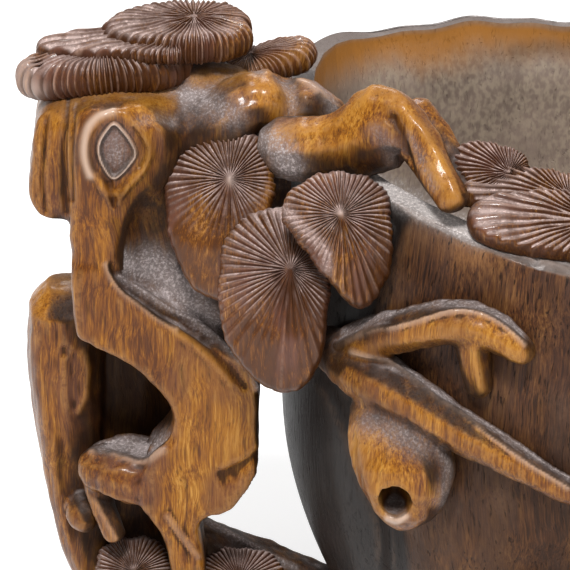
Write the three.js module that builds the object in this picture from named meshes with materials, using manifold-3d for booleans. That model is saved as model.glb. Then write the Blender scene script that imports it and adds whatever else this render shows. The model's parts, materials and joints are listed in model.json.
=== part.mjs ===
// Libation cup carved from one rhinoceros horn, in millimetres, +Z up.
// X runs along the mouth, with the pine-tree handle at -X and the pouring end at +X.
// The origin is the middle of the flat foot, on the surface that the cup stands on.
// The real cup is one block of horn: each carved element is its own solid here, and where
// two elements meet, the later one is cut back from the earlier one by seatGap.
import * as THREE from "three";
import { mergeVertices } from "three/addons/utils/BufferGeometryUtils.js";
import Module from "manifold-3d";

const wasm = await Module();
wasm.setup();

// Driving dimensions of the vessel
const rimHeight = 96.5; // the rim at the handle end
const handleHeight = 98; // the crown of the handle's tree, above the rim
const rimDipFront = 8.6; // how far the rim dips along the front
const rimDipBack = 1.1; // how far it dips along the back
const handleRise = 4; // how far the back of the rim stands up at the handle end
const spoutRise = 3; // how far the pouring end stands above the handle end
const mouthLeft = 41.5; // from the foot's middle to the rim at the handle
const mouthRight = 82; // from the foot's middle to the rim at the pouring end
const mouthHalfWidth = 40.3;
const mouthSkew = 0.12; // how far the mouth's long axis leans to the front, per unit of length
const bellyLeft = 43; // the widest place of the handle side
const footLeft = 25;
const footRight = 30;
const footHalfWidth = 21;
const wallThickness = 3.4;
const floorThickness = 11;
const mouthSquareness = 2.15; // 2 is an ellipse, more is squarer

// The planes of the handle's tree, from front to back
const plankFront = -14; // the face of the front trunk
const plankDepth = 9.5;
const crownFront = -13.4; // the face of the crown, with the cut knot
const crownDepth = 17;
const saddleFront = -11.6; // the ledge behind the front trunk's upper edge
const saddleDepth = 16;
const slabFront = -9;
const slabDepth = 15;

// Fit of the carved elements
const seatGap = 0.3; // between two solids that meet
const seatDepth = 1.5; // how far an element's blank reaches into what carries it

// Pine-needle clusters
const needleCount = 18;
const needleRelief = 0.35; // height of a needle ridge above its groove
const clusterThickness = 3;

// Facets
const wallSegments = 48;
const limbSides = 10;

const horn = new THREE.MeshStandardMaterial({ color: 0x7a4315, roughness: 0.35, metalness: 0 });
const darkHorn = new THREE.MeshStandardMaterial({ color: 0x46301f, roughness: 0.45, metalness: 0 });
const needleHorn = new THREE.MeshStandardMaterial({ color: 0x6a4526, roughness: 0.45, metalness: 0 });

const lerp = THREE.MathUtils.lerp;
const vector = (x, y, z) => new THREE.Vector3(x, y, z);

// Solids from rings and grids

// A closed skin over rings of equal length, with a fan over each end.
function skinOver(rings, startPoint, endPoint) {
  const count = rings[0].length;
  const points = rings.flat();
  const faces = [];
  for (let ring = 0; ring + 1 < rings.length; ring++) {
    for (let i = 0; i < count; i++) {
      const a = ring * count + i;
      const b = ring * count + ((i + 1) % count);
      faces.push(a, b, b + count, a, b + count, a + count);
    }
  }
  const start = points.push(startPoint) - 1;
  const end = points.push(endPoint) - 1;
  const last = (rings.length - 1) * count;
  for (let i = 0; i < count; i++) {
    const next = (i + 1) % count;
    faces.push(start, next, i);
    faces.push(end, last + i, last + next);
  }
  const geometry = new THREE.BufferGeometry().setFromPoints(points);
  geometry.setIndex(faces);
  return geometry;
}

function centreOf(ring) {
  const sum = ring.reduce((total, point) => total.add(point), vector(0, 0, 0));
  return sum.divideScalar(ring.length);
}

// A geometry as a solid that can be joined and cut. A skin that was wound inwards is turned.
function solidOf(geometry) {
  const bare = geometry.clone();
  bare.deleteAttribute("normal");
  bare.deleteAttribute("uv");
  const merged = mergeVertices(bare, 1e-4);
  const vertProperties = merged.attributes.position.array;
  const triVerts = new Uint32Array(merged.index.array);
  const make = () => new wasm.Manifold(new wasm.Mesh({ numProp: 3, vertProperties, triVerts }));
  const solid = make();
  if (solid.volume() > 0) return solid;
  for (let i = 0; i < triVerts.length; i += 3) {
    [triVerts[i + 1], triVerts[i + 2]] = [triVerts[i + 2], triVerts[i + 1]];
  }
  return make();
}

function boxOf(solid) {
  const { min, max } = solid.boundingBox();
  return new THREE.Box3(vector(...min), vector(...max));
}

function geometryOf(solid) {
  const mesh = solid.getMesh();
  const positions = new Float32Array(mesh.numVert * 3);
  for (let i = 0; i < mesh.numVert; i++) {
    positions.set(mesh.vertProperties.subarray(i * mesh.numProp, i * mesh.numProp + 3), i * 3);
  }
  const geometry = new THREE.BufferGeometry();
  geometry.setAttribute("position", new THREE.BufferAttribute(positions, 3));
  geometry.setIndex(new THREE.BufferAttribute(new Uint32Array(mesh.triVerts), 1));
  geometry.computeVertexNormals();
  return geometry;
}

// The vessel's shape

// Half-lengths at a share of the height, through the foot, the belly and the rim.
const profile = (...pairs) => new THREE.SplineCurve(pairs.map(([r, h]) => new THREE.Vector2(r, h)));
const leftProfile = profile(
  [footLeft, 0], [lerp(footLeft, bellyLeft, 0.585), 0.2], [bellyLeft, 0.44], [mouthLeft, 0.8], [mouthLeft, 1],
);
const rightProfile = profile(
  [footRight, 0], [lerp(footRight, mouthRight, 0.2), 0.25], [lerp(footRight, mouthRight, 0.48), 0.55],
  [lerp(footRight, mouthRight, 0.76), 0.8], [mouthRight, 1],
);
const sideProfile = profile(
  [footHalfWidth, 0], [lerp(footHalfWidth, mouthHalfWidth, 0.45), 0.25],
  [lerp(footHalfWidth, mouthHalfWidth, 0.8), 0.55], [lerp(footHalfWidth, mouthHalfWidth, 0.95), 0.8],
  [mouthHalfWidth, 1],
);

function radiusAt(curve, share) {
  let low = 0;
  let high = 1;
  for (let i = 0; i < 24; i++) {
    const middle = (low + high) / 2;
    if (curve.getPoint(middle).y < share) low = middle;
    else high = middle;
  }
  return curve.getPoint((low + high) / 2).x;
}

// Height of the rim in the direction of an angle round the vessel. Angle 0 is the pouring end.
function rimAt(angle) {
  const along = Math.cos(angle);
  const across = 1 - along * along;
  const backward = THREE.MathUtils.smoothstep(Math.sin(angle), -0.3, 0.3);
  const dip = lerp(rimDipFront, rimDipBack, backward);
  const ends = along > 0 ? spoutRise * along ** 2 : handleRise * backward * along ** 4;
  return rimHeight - dip * across ** lerp(1.4, 2, backward) + ends;
}

const powered = (value, exponent) => Math.sign(value) * Math.abs(value) ** exponent;

// The oval of the wall at a share of the height.
function ovalAt(share) {
  const left = radiusAt(leftProfile, share);
  const right = radiusAt(rightProfile, share);
  return { middle: (right - left) / 2, half: (right + left) / 2, side: radiusAt(sideProfile, share) };
}

// A point of the wall: angle round the vessel, share of the height, distance outside the wall.
function wallPoint(angle, share, outside = 0) {
  const { middle, half, side } = ovalAt(share);
  const exponent = 2 / mouthSquareness;
  const along = (half + outside) * powered(Math.cos(angle), exponent);
  const across = (side + outside) * powered(Math.sin(angle), exponent);
  return vector(middle + along, across - mouthSkew * share * along, share * rimAt(angle));
}

// The point of the front wall (side -1) or back wall (side 1) at an x and a share of the height.
function wallShare(x, share, side, outside = 0) {
  const oval = ovalAt(share);
  const along = THREE.MathUtils.clamp((x - oval.middle) / (oval.half + outside), -1, 1);
  const across = side * (1 - Math.abs(along) ** mouthSquareness) ** (1 / mouthSquareness);
  const angle = Math.atan2(powered(across, mouthSquareness / 2), powered(along, mouthSquareness / 2));
  const y = (oval.side + outside) * across - mouthSkew * share * (x - oval.middle);
  return { point: vector(x, y, share * rimAt(angle)), rim: rimAt(angle) };
}

// The same at an x and a z.
function wallAt(x, z, side, outside = 0) {
  let found = { rim: rimHeight };
  for (let i = 0; i < 12; i++) found = wallShare(x, z / found.rim, side, outside);
  return found.point.setZ(z);
}

function wallRing(share, outside) {
  return Array.from({ length: wallSegments }, (_, i) => {
    return wallPoint((i / wallSegments) * 2 * Math.PI, share, outside);
  });
}

const wallShares = [0, 0.07, 0.17, 0.29, 0.42, 0.55, 0.68, 0.81, 0.92, 1];

function vesselOuter(grow) {
  const rings = wallShares.map((share) => wallRing(share, grow));
  if (grow > 0) {
    rings[0].forEach((point) => (point.z -= grow));
    rings.at(-1).forEach((point) => (point.z += grow));
  }
  return solidOf(skinOver(rings, centreOf(rings[0]), centreOf(rings.at(-1))));
}

function vesselHollow(shrink) {
  const floorShare = (floorThickness + shrink) / rimHeight;
  const shares = [floorShare, 0.2, 0.33, 0.5, 0.67, 0.84, 1, 1.3].filter((s) => s >= floorShare);
  const rings = shares.map((share) => {
    const capped = Math.min(1, share);
    const deep = 1 - capped;
    const ring = wallRing(capped, -(wallThickness + shrink + 5 * deep * deep));
    ring.forEach((point) => (point.z += (share - capped) * rimHeight));
    return ring;
  });
  const narrowest = rings[0].map((point) => vector(point.x * 0.8, point.y * 0.8, point.z));
  rings[0].forEach((point) => (point.z += 1.5));
  rings.unshift(narrowest);
  return solidOf(skinOver(rings, centreOf(rings[0]), centreOf(rings.at(-1))));
}

const vessel = (grow) => vesselOuter(grow).subtract(vesselHollow(grow));

// Carved forms

// A limb of the tree: stations are [x, y, z, half-width, half-depth]. Width is measured
// across the limb in the plane that holds its path and the wide direction.
// A square of 2 gives an oval section, and more gives a squarer one.
function limb(stations, { steps = 14, sides = limbSides, wide = vector(1, 0, 0), blunt = 0.6, square = 2 } = {}) {
  const path = new THREE.CatmullRomCurve3(stations.map(([x, y, z]) => vector(x, y, z)), false, "centripetal");
  const sizes = new THREE.CatmullRomCurve3(
    stations.map(([, , , width, depth]) => vector(width, depth ?? width, 0)), false, "centripetal",
  );
  return (grow) => {
    const ringAt = (t, share, shift) => {
      const tangent = path.getTangent(t);
      const across = wide.clone().addScaledVector(tangent, -wide.dot(tangent)).normalize();
      const through = tangent.clone().cross(across);
      const centre = path.getPoint(t).addScaledVector(tangent, shift);
      const index = t * (stations.length - 1);
      const size = sizes.getPoint(index / (stations.length - 1));
      return Array.from({ length: sides }, (_, i) => {
        const angle = (i / sides) * 2 * Math.PI;
        return centre.clone()
          .addScaledVector(across, (size.x + grow) * share * powered(Math.cos(angle), 2 / square))
          .addScaledVector(through, (size.y + grow) * share * powered(Math.sin(angle), 2 / square));
      });
    };
    const rings = [];
    const startReach = (stations[0][3] + grow) * blunt;
    const endReach = (stations.at(-1)[3] + grow) * blunt;
    rings.push(ringAt(0, 0.55, -startReach * 0.85));
    for (let i = 0; i <= steps; i++) rings.push(ringAt(i / steps, 1, 0));
    rings.push(ringAt(1, 0.55, endReach * 0.85));
    const start = path.getPoint(0).addScaledVector(path.getTangent(0), -startReach);
    const end = path.getPoint(1).addScaledVector(path.getTangent(1), endReach);
    return solidOf(skinOver(rings, start, end));
  };
}

// A plank of the tree: a smooth outline through points of the handle, [x, z], from a front y
// over a depth, with rounded edges.
function plank(outline, { face, depth, round = 1.2, points = outline.length * 2 }) {
  const curve = new THREE.CatmullRomCurve3(outline.map(([x, z]) => handleTop(x, 0, z)), true, "centripetal");
  const border = curve.getPoints(points).slice(1).map(({ x, z }) => new THREE.Vector2(x, z));
  return (grow) => {
    const geometry = new THREE.ExtrudeGeometry(new THREE.Shape(border), {
      depth: depth + 2 * (grow - round), bevelSegments: 2, bevelThickness: round, bevelSize: round,
      bevelOffset: grow - round,
    });
    return solidOf(geometry.rotateX(Math.PI / 2).translate(0, face + depth + grow - round, 0));
  };
}

// A knot where a bough was cut off: a raised ring round a sunk lozenge.
function cutKnot({ hub, facing, wide, tall, proud, sunk, sides = 24 }) {
  const { normal, right, up } = facingFrame(...facing);
  return (grow) => {
    const ring = (share, height) => Array.from({ length: sides }, (_, i) => {
      const c = Math.cos((i / sides) * 2 * Math.PI);
      const s = Math.sin((i / sides) * 2 * Math.PI);
      const reach = 1 / (Math.abs(c / wide) ** 1.5 + Math.abs(s / tall) ** 1.5) ** (1 / 1.5);
      return hub.clone().addScaledVector(right, (reach * share + grow) * c)
        .addScaledVector(up, (reach * share + grow) * s).addScaledVector(normal, height);
    });
    const rings = [
      ring(1.1, -seatDepth), ring(1.06, 0.4 * proud + grow), ring(0.94, proud + grow), ring(0.74, proud + grow),
      ring(0.62, proud - sunk + grow), ring(0.5, proud - sunk + 0.2 + grow),
    ];
    const depth = (height) => hub.clone().addScaledVector(normal, height);
    return solidOf(skinOver(rings, depth(-seatDepth), depth(proud - sunk + 0.2 + grow)));
  };
}

// Directions of a cluster that faces an azimuth (0 is +X, -90 is the front) and an elevation.
function facingFrame(azimuth, elevation, spin = 0) {
  const a = THREE.MathUtils.degToRad(azimuth);
  const e = THREE.MathUtils.degToRad(elevation);
  const normal = vector(Math.cos(e) * Math.cos(a), Math.cos(e) * Math.sin(a), Math.sin(e));
  const right = vector(-Math.sin(a), Math.cos(a), 0).applyAxisAngle(normal, THREE.MathUtils.degToRad(spin));
  const up = normal.clone().cross(right);
  return { normal, right, up };
}

// A pine-needle cluster: needles spread from a hub over a dome with a scalloped edge.
// reach is [up, right, down, left] from the hub, and droop is how far the edge falls back
// per millimetre squared of reach.
function cluster({ hub, facing, reach, droop = 0.02, thick = clusterThickness, needles = needleCount }) {
  const { normal, right, up } = facingFrame(...facing);
  return (grow) => {
    const spokes = needles * 2;
    const rimReach = (angle) => {
      const c = Math.cos(angle);
      const s = Math.sin(angle);
      const along = c > 0 ? reach[1] : reach[3];
      const upright = s > 0 ? reach[0] : reach[2];
      return 1 / Math.hypot(c / along, s / upright);
    };
    const ring = (share, height, relief) => {
      return Array.from({ length: spokes }, (_, i) => {
        const angle = (i / spokes) * 2 * Math.PI;
        const ridge = i % 2 === 0 ? 1 : -1;
        const radius = (rimReach(angle) + ridge * relief * 0.8) * share + grow;
        const lift = height - droop * radius * radius + ridge * relief;
        return hub.clone()
          .addScaledVector(right, radius * Math.cos(angle))
          .addScaledVector(up, radius * Math.sin(angle))
          .addScaledVector(normal, lift);
      });
    };
    const rings = [
      ring(0.45, grow, needleRelief * 0.6),
      ring(0.94, grow, needleRelief),
      ring(1, -0.3 * thick, needleRelief * 0.8),
      ring(0.9, -thick - grow, 0),
    ];
    const top = hub.clone().addScaledVector(normal, grow);
    const bottom = hub.clone().addScaledVector(normal, -thick - grow);
    return solidOf(skinOver(rings, top, bottom));
  };
}

// Straight steps between pairs of [share of the height, x].
function edge(...pairs) {
  return (share) => {
    const next = Math.max(1, pairs.findIndex(([at]) => at >= share));
    const [[at, x], [nextAt, nextX]] = [pairs[next - 1], pairs[next]];
    return lerp(x, nextX, (share - at) / (nextAt - at));
  };
}

// Relief that stands proud of the wall between two edges, from a low share of the height to a
// high one, where it is top proud.
function relief({ side, low, high, left, right, proud, top = proud, rows = 9, columns = 9 }) {
  return (grow) => {
    const rings = [];
    for (let row = 0; row <= rows; row++) {
      const share = lerp(low, high, row / rows);
      const lift = row === 0 ? -grow : row === rows ? grow : 0;
      const height = lerp(proud, top, THREE.MathUtils.smoothstep(share, 0.8, 1));
      const place = (s, outside) => {
        const x = lerp(left(share) - grow, right(share) + grow, s);
        const { point } = wallShare(x, share, side, outside);
        return point.setZ(point.z + lift);
      };
      const ring = [];
      for (let column = 0; column <= columns; column++) {
        const s = column / columns;
        ring.push(place(s, lerp(-seatDepth, height, Math.sin(Math.PI * s) ** 0.35) + grow));
      }
      for (let column = columns; column >= 0; column--) ring.push(place(column / columns, -2 * seatDepth));
      rings.push(ring);
    }
    return solidOf(skinOver(rings, centreOf(rings[0]), centreOf(rings.at(-1))));
  };
}

// Places on the cup

const handleTop = (x, y, z) => vector(-mouthLeft + x, y, handleHeight + z); // from the rim's handle end
const station = (point, ...sizes) => [point.x, point.y, point.z, ...sizes];
const handle = (x, y, z, ...sizes) => station(handleTop(x, y, z), ...sizes);
const foot = (x, y, z, ...sizes) => [-footLeft + x, y, z, ...sizes];
const front = (x, z, outside, ...sizes) => station(wallAt(x, z, -1, outside), ...sizes);
const back = (x, z, outside, ...sizes) => station(wallAt(x, z, 1, outside), ...sizes);

// On the rim at an x: up above it, and outside of the wall.
function onRim(x, side, outside, up) {
  const { point } = wallShare(x, 1, side, outside);
  return point.setZ(point.z + up);
}

const cup = new THREE.Group();
const placed = [];

// Adds an element, cut back from every element placed before it.
function carve(name, shape, material) {
  let solid = shape(0);
  const box = boxOf(solid);
  for (const other of placed) {
    if (!box.intersectsBox(other.box)) continue;
    for (const room of other.rooms) solid = solid.subtract(room);
  }
  const body = solid.decompose().reduce((most, next) => (next.volume() > most.volume() ? next : most));
  const mesh = new THREE.Mesh(geometryOf(body), material);
  mesh.name = name;
  cup.add(mesh);
  const rooms = [shape(seatGap), body];
  placed.push({ rooms, box: boxOf(rooms[0]) });
}

carve("vessel", vessel, darkHorn);

carve("front_relief_trunk", relief({
  side: -1, low: 0.03, high: 0.998, proud: 2.6, top: 1.5,
  left: edge([0, -19], [0.33, -26], [0.43, -27], [0.52, -30], [0.6, -33], [0.68, -38], [0.8, -35], [1, -31]),
  right: edge([0, 9], [0.3, 12], [0.6, 20], [1, 34]),
}), horn);

// The handle's tree

const crownBody = plank([
  [-32.6, -18.4], [-32.7, -11], [-33.2, -3], [-33, 2.4], [-31.2, 4.9], [-27.4, 5.9], [-23.4, 5.8], [-19.6, 4.8],
  [-17, 2.4], [-17, -3], [-17.2, -10], [-17, -18], [-17.4, -24], [-20, -25.6], [-24, -24], [-27.4, -20.6],
  [-29.4, -19.2],
], { face: crownFront, depth: crownDepth, round: 1.6 });
const crownHollow = limb([
  handle(-20, -19.6, -4, 4), handle(-19.8, -18, -9, 6), handle(-19.6, -17, -15, 7.4), handle(-19.2, -17, -22, 8.6),
  handle(-18.6, -17, -28, 9),
], { steps: 8, sides: 16 });
carve("crown_trunk", (grow) => crownBody(grow).subtract(crownHollow(-grow)), horn);

carve("cut_knot", cutKnot({
  hub: handleTop(-25.6, crownFront, 0.4), facing: [-94, 12], wide: 4.9, tall: 5.8, proud: 1.1, sunk: 1,
}), horn);

carve("crown_bough", limb([
  handle(-20, 0, 1.4, 7, 5.2), handle(-13, 0.4, 1.8, 7, 5), handle(-6, 0, 0.2, 6.4, 4.6), handle(0, 0, -1, 5, 4),
], { steps: 6, wide: vector(0, 1, 0) }), horn);

carve("bark_slab", plank([
  [-35.4, 4.2], [-37.2, 2.2], [-38.1, 0], [-38.4, -2.6], [-38.8, -6], [-39.2, -8.8], [-39, -11], [-37.8, -13.3],
  [-35.4, -13.9], [-31.6, -14], [-31, -5], [-31, 4.8],
], { face: slabFront, depth: slabDepth, round: 1.4 }), horn);

carve("rear_trunk", limb([
  handle(-34.5, 3, -34, 6.6, 5.8), handle(-34.9, 3, -42, 6.6, 5.9), handle(-34.7, 3, -51, 6.4, 5.4),
  handle(-34, 2.5, -61, 6, 4.9), handle(-32.6, 2, -71, 5.6, 4.5), foot(-46, 1, 18, 5.8, 4.6),
  foot(-37, 0.5, 8.5, 6, 4.6), foot(-24, 0, 5.2, 6.5, 4.6), foot(-5, 0, 5, 7, 4.6),
], { steps: 16, sides: 12, wide: vector(0, 1, 0), square: 2.8 }), horn);

carve("inner_trunk", limb([
  handle(-24, 4.5, -22, 7, 4), handle(-24.5, 5, -40, 8, 4), handle(-25, 5, -56, 8, 4), handle(-24.5, 4, -72, 7.5, 4),
  foot(-38, 2, 14, 6, 4),
], { steps: 7 }), darkHorn);

carve("front_trunk", plank([
  [-32.2, -31.5], [-32.6, -25], [-32.6, -18.6], [-27.6, -18.6], [-26.6, -21], [-25.4, -23.3], [-23.2, -25.3],
  [-20.2, -27.8], [-17.2, -29.9], [-13.4, -32], [-8.9, -34.6], [-6.1, -37.2], [-5.1, -40.4], [-4.9, -44],
  [-5.2, -47.4], [-5.2, -53.4], [-6.3, -56.6], [-8.3, -60], [-10.2, -62.1], [-12.6, -62.6], [-14.2, -64],
  [-13.8, -69.4], [-13.4, -75], [-14.2, -79.6], [-18.6, -79.6], [-18.2, -74.6], [-19.2, -67.8], [-20.7, -64.4],
  [-22.7, -61.2], [-22.8, -56], [-21, -51.6], [-18.4, -48.6], [-17.7, -45.8], [-18.4, -43.2], [-19.9, -40.8],
  [-22, -38.3], [-25, -35.7], [-28.1, -33.9], [-30.6, -32.6],
], { face: plankFront, depth: plankDepth, round: 1, points: 60 }), horn);

carve("front_root", limb([
  handle(-16.2, -9.4, -76, 3, 3.6), handle(-17, -8, -83, 3.2, 3.8), foot(-27, -5, 6.5, 4, 4), foot(-18, -2, 5, 4, 4),
], { steps: 6, wide: vector(0.8, 0, 0.6) }), horn);

carve("shoulder_bough", plank([
  [-27.8, -19.8], [-25, -22.5], [-21.8, -24.9], [-18.5, -27.1], [-14.6, -29.3], [-12.1, -31.4], [-8.9, -34.8],
  [-6, -37.5], [-5.2, -40.4], [-8, -41.8], [-14, -37.4], [-22, -32.4], [-29, -27.6], [-31.4, -22], [-30.6, -19.4],
], { face: saddleFront, depth: saddleDepth, round: 1 }), horn);

carve("bridge_bough", limb([
  handle(-16, -4.4, -26.6, 6.6, 6), handle(-10, -4.4, -27.6, 6.4, 5.8), handle(-4, -4.4, -29, 6.4, 5),
  handle(3, -5, -28, 6, 4.6),
], { steps: 4, wide: vector(0, 1, 0) }), darkHorn);

carve("cross_branch", limb([
  handle(-17, -6.8, -58, 5, 6.4), handle(-22, -6.8, -58.4, 4.4, 6.6), handle(-26, -6.6, -57.6, 4, 6.4),
  handle(-28.6, -6.2, -57.4, 3.4, 5.2), handle(-30.4, -5, -58, 2.8, 4),
], { steps: 9, sides: 12, wide: vector(0, 0, 1), square: 2.6 }), horn);

carve("slanting_stub", limb([
  handle(-31.2, -5.4, -58.6, 1.7), handle(-29, -8, -64.4, 1.8), handle(-27.2, -8.8, -69, 1.6),
], { steps: 4, sides: 8, blunt: 0.3, square: 2.6 }), horn);

carve("knob_stub", limb([
  handle(-33, -1.5, -65.6, 2.6), handle(-32.3, -5.6, -67.4, 2.5),
], { steps: 3, blunt: 0.9 }), horn);

carve("root_bough", limb([
  handle(-16, -1, -74, 5, 4), handle(-11, 0, -77, 5, 4.2), handle(-5, 1, -80, 5, 4.2), foot(-13, 1, 13.6, 5, 4.4),
  foot(-2, 1, 10, 5, 4.4),
], { steps: 8, wide: vector(0, 1, 0) }), darkHorn);

// The boughs that lean over the rim

carve("rim_bough", limb([
  handle(-16, -5, -0.6, 5.4, 5), handle(-10, -5.6, 1, 5.4, 5), handle(-5, -5.6, 4.6, 4.8, 4.4),
  handle(-1.2, -5, 3, 4.6, 3.8), handle(2.8, -5, 2.4, 4.6, 4.6), handle(5.8, -5, -1.2, 4, 4),
], { steps: 9, wide: vector(0, 1, 0.3) }), horn);

carve("knee_bough", limb([
  handle(-1.8, -11, -0.6, 4.6), handle(2.4, -12.5, -0.4, 5), handle(7, -14, 0.6, 5, 4.6),
  handle(11, -15.4, 2.8, 5.8, 4.4), handle(14, -17.2, 5.4, 6.6, 4), handle(17.6, -20, 5.8, 4, 3.2),
  handle(20.8, -24.2, 2.2, 2.7, 2.8), handle(23.8, -28.4, -1.4, 2.1, 2.4),
], { steps: 14, wide: vector(0, 0, 1) }), horn);

carve("knee_twig", limb([
  handle(18.5, -13.5, 6.5, 2.4), handle(21.5, -15.5, 3.5, 2.2), handle(24.5, -19, -0.5, 2),
  handle(26.5, -23, -3.5, 1.7),
], { steps: 6, sides: 8, wide: vector(0, 0, 1) }), horn);

// Needle clusters of the handle, from the lowest layer up

const topClusters = {
  low: {
    hub: handleTop(-28, -0.4, 12), facing: [150, 84, 120], reach: [3.6, 13, 6.6, 13.4], droop: 0.006, thick: 5.6,
  },
  middle: {
    hub: handleTop(-17.5, -0.4, 13.4), facing: [-90, 90, -10], reach: [3.4, 3, 4, 21], droop: 0.003, thick: 2.4,
  },
  high: {
    hub: handleTop(-14.4, 2.6, 14.6), facing: [-90, 88], reach: [7.2, 8.6, 7.4, 13.9], droop: 0.007, thick: 4.4,
  },
  right: { hub: handleTop(-6, 6, 6.2), facing: [180, 70, 90], reach: [4, 9.5, 4.6, 8.4], droop: 0.01, thick: 4 },
};
for (const [place, sizes] of Object.entries(topClusters)) {
  carve(`top_cluster_${place}`, cluster(sizes), needleHorn);
}

const frontClusters = {
  left: { hub: handleTop(-9, -15, -3.5), facing: [-100, 38], reach: [8, 6.5, 17, 10], droop: 0.022 },
  low: { hub: handleTop(0, -24.6, -13.7), facing: [-95, 30], reach: [9.6, 6, 18, 11], droop: 0.018 },
  right: { hub: handleTop(7.4, -26.4, -4), facing: [-80, 35], reach: [6.6, 8.2, 15, 8.6], droop: 0.022 },
};
for (const [place, sizes] of Object.entries(frontClusters)) {
  carve(`front_cluster_${place}`, cluster(sizes), needleHorn);
}

const handleClusters = {
  low_left: { hub: handleTop(-24.5, -9, -75), facing: [-95, 40], reach: [6, 6, 8, 6.5] },
  low_right: { hub: handleTop(-8, -8, -77), facing: [-85, 42], reach: [5.5, 7.5, 7, 7.5] },
  back_left: { hub: handleTop(-14, 12, -8), facing: [98, 34], reach: [8, 9, 12, 8] },
  back_right: { hub: handleTop(3, 25, -5), facing: [80, 32], reach: [8, 8.5, 13, 8] },
  back_low: { hub: handleTop(-3, 18, -18), facing: [92, 24], reach: [8, 8, 12, 8] },
};
for (const [place, sizes] of Object.entries(handleClusters)) {
  carve(`handle_cluster_${place}`, cluster({ droop: 0.02, ...sizes }), needleHorn);
}

// Needle clusters on the rim

const rimClusters = {
  main: { hub: onRim(2.4, -1, -7, 5.4), facing: [-74, 60, -17], reach: [5.4, 13, 6.4, 18], droop: 0.006 },
  middle: { hub: onRim(-0.6, -1, -9.4, 6.4), facing: [-78, 62, -22], reach: [5, 7, 5, 15.4], droop: 0.008 },
  left: { hub: onRim(-9.8, -1, -9.6, 6.8), facing: [-84, 54, -34], reach: [4.4, 2.4, 4.6, 9], droop: 0.012 },
  back: { hub: onRim(34, 1, -2, 2.6), facing: [85, 55], reach: [6, 10, 9, 10], droop: 0.012 },
};
for (const [place, sizes] of Object.entries(rimClusters)) {
  carve(`rim_cluster_${place}`, cluster(sizes), needleHorn);
}

// Relief on the front wall

carve("diagonal_branch", limb([
  front(-36.3, 68.2, 2, 2.6), front(-33.3, 68.6, 3.4, 4), front(-28.9, 67.6, 4.2, 4.4), front(-23.8, 66.2, 4.2, 3.9),
  front(-17.9, 63.5, 4, 3.4), front(-12.1, 61, 3.8, 3), front(-6.2, 58, 3.4, 2.5), front(-0.5, 54.9, 3, 2.1),
  front(10, 51.4, 3, 1.9), front(22, 51.4, 3, 1.7), front(31, 54.4, 2.6, 1.5),
], { steps: 18, wide: vector(0.4, 0, 0.9) }), horn);
carve("forked_branch", limb([
  front(-32.3, 70.3, 3.4, 3.2), front(-29, 74, 3.8, 3.2), front(-24.3, 76.7, 3.9, 3.2), front(-19.2, 79.6, 4.1, 3.3),
  front(-15.2, 80.4, 4.1, 3.2), front(-11.5, 79.6, 4, 2.9), front(-8.9, 78, 3.8, 2.4), front(-7.1, 76.9, 3.6, 1.6),
], { steps: 12, wide: vector(0, 0, 1) }), horn);
carve("fork_stub", limb([
  front(-15, 76.8, 3.9, 2.4), front(-14.2, 72.8, 3.6, 2.2), front(-13.8, 69.6, 3.2, 1.8),
], { steps: 4, sides: 8 }), horn);
const knotBody = limb([
  front(-25, 64, 1.8, 7.4, 3.8), front(-24.9, 61.6, 2.6, 7.9, 4.8), front(-24.4, 57, 4.1, 8.2, 6),
  front(-24.2, 52, 4.6, 7, 6), front(-24.4, 46.8, 3.6, 4, 3.8),
], { steps: 7 });
const knotHole = limb([
  front(-26, 53.2, 4.4, 1.6, 2), front(-26, 52.2, 7.4, 2.5, 3), front(-26.1, 51.2, 14, 3.2, 3.9),
], { steps: 3, blunt: 0.4 });
carve("hollow_knot", (grow) => knotBody(grow).subtract(knotHole(-grow)), horn);

const frontWallClusters = {
  low: { hub: vector(...front(-2.8, 34.4, 5)), facing: [-92, 12], reach: [5.5, 6, 6, 6] },
  upper: { hub: vector(...front(30, 78, 5.5)), facing: [-80, 24], reach: [8, 9, 11, 9] },
  right: { hub: vector(...front(43, 76, 5)), facing: [-66, 20], reach: [8, 8, 11, 8] },
  middle: { hub: vector(...front(33, 60, 5)), facing: [-76, 14], reach: [7, 8, 9, 8] },
};
for (const [place, sizes] of Object.entries(frontWallClusters)) {
  carve(`wall_cluster_${place}`, cluster({ droop: 0.022, thick: 2.6, ...sizes }), needleHorn);
}

// Relief on the back wall

carve("back_relief_trunk", relief({
  side: 1, low: 0.03, high: 0.965, proud: 3.2,
  left: edge([0, -14], [0.5, -20], [0.75, -27], [1, -30]),
  right: edge([0, 12], [0.5, 8], [0.75, 12], [1, 22]),
}), horn);
carve("back_branch", limb([
  back(-22, 52, 2.6, 3), back(-12, 58, 3.2, 3.2), back(0, 64, 3.2, 2.8), back(14, 67, 3, 2.4), back(30, 74, 2.6, 2),
  back(42, 82, 2, 1.5),
], { steps: 14, wide: vector(0.3, 0, 0.95) }), horn);
const backWallClusters = {
  upper: { hub: vector(...back(22, 82, 5.5)), facing: [85, 24], reach: [8, 9, 11, 9] },
  left: { hub: vector(...back(-14, 78, 5.5)), facing: [100, 22], reach: [8, 9, 10, 9] },
  low: { hub: vector(...back(20, 62, 5)), facing: [84, 14], reach: [7, 8, 9, 8] },
};
for (const [place, sizes] of Object.entries(backWallClusters)) {
  carve(`back_cluster_${place}`, cluster({ droop: 0.022, thick: 2.6, ...sizes }), needleHorn);
}

export default cup;
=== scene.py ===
"""A libation cup carved from one horn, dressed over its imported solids.

Lengths in the dataclasses are millimetres. Places in the picture are its pixels, 570 to a side.
Meshes are metres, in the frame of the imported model.
"""

from __future__ import annotations

import json
import logging
import math
from dataclasses import dataclass
from enum import Enum

import bpy
import numpy as np
from mathutils import Matrix, Vector
from mathutils.bvhtree import BVHTree

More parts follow.
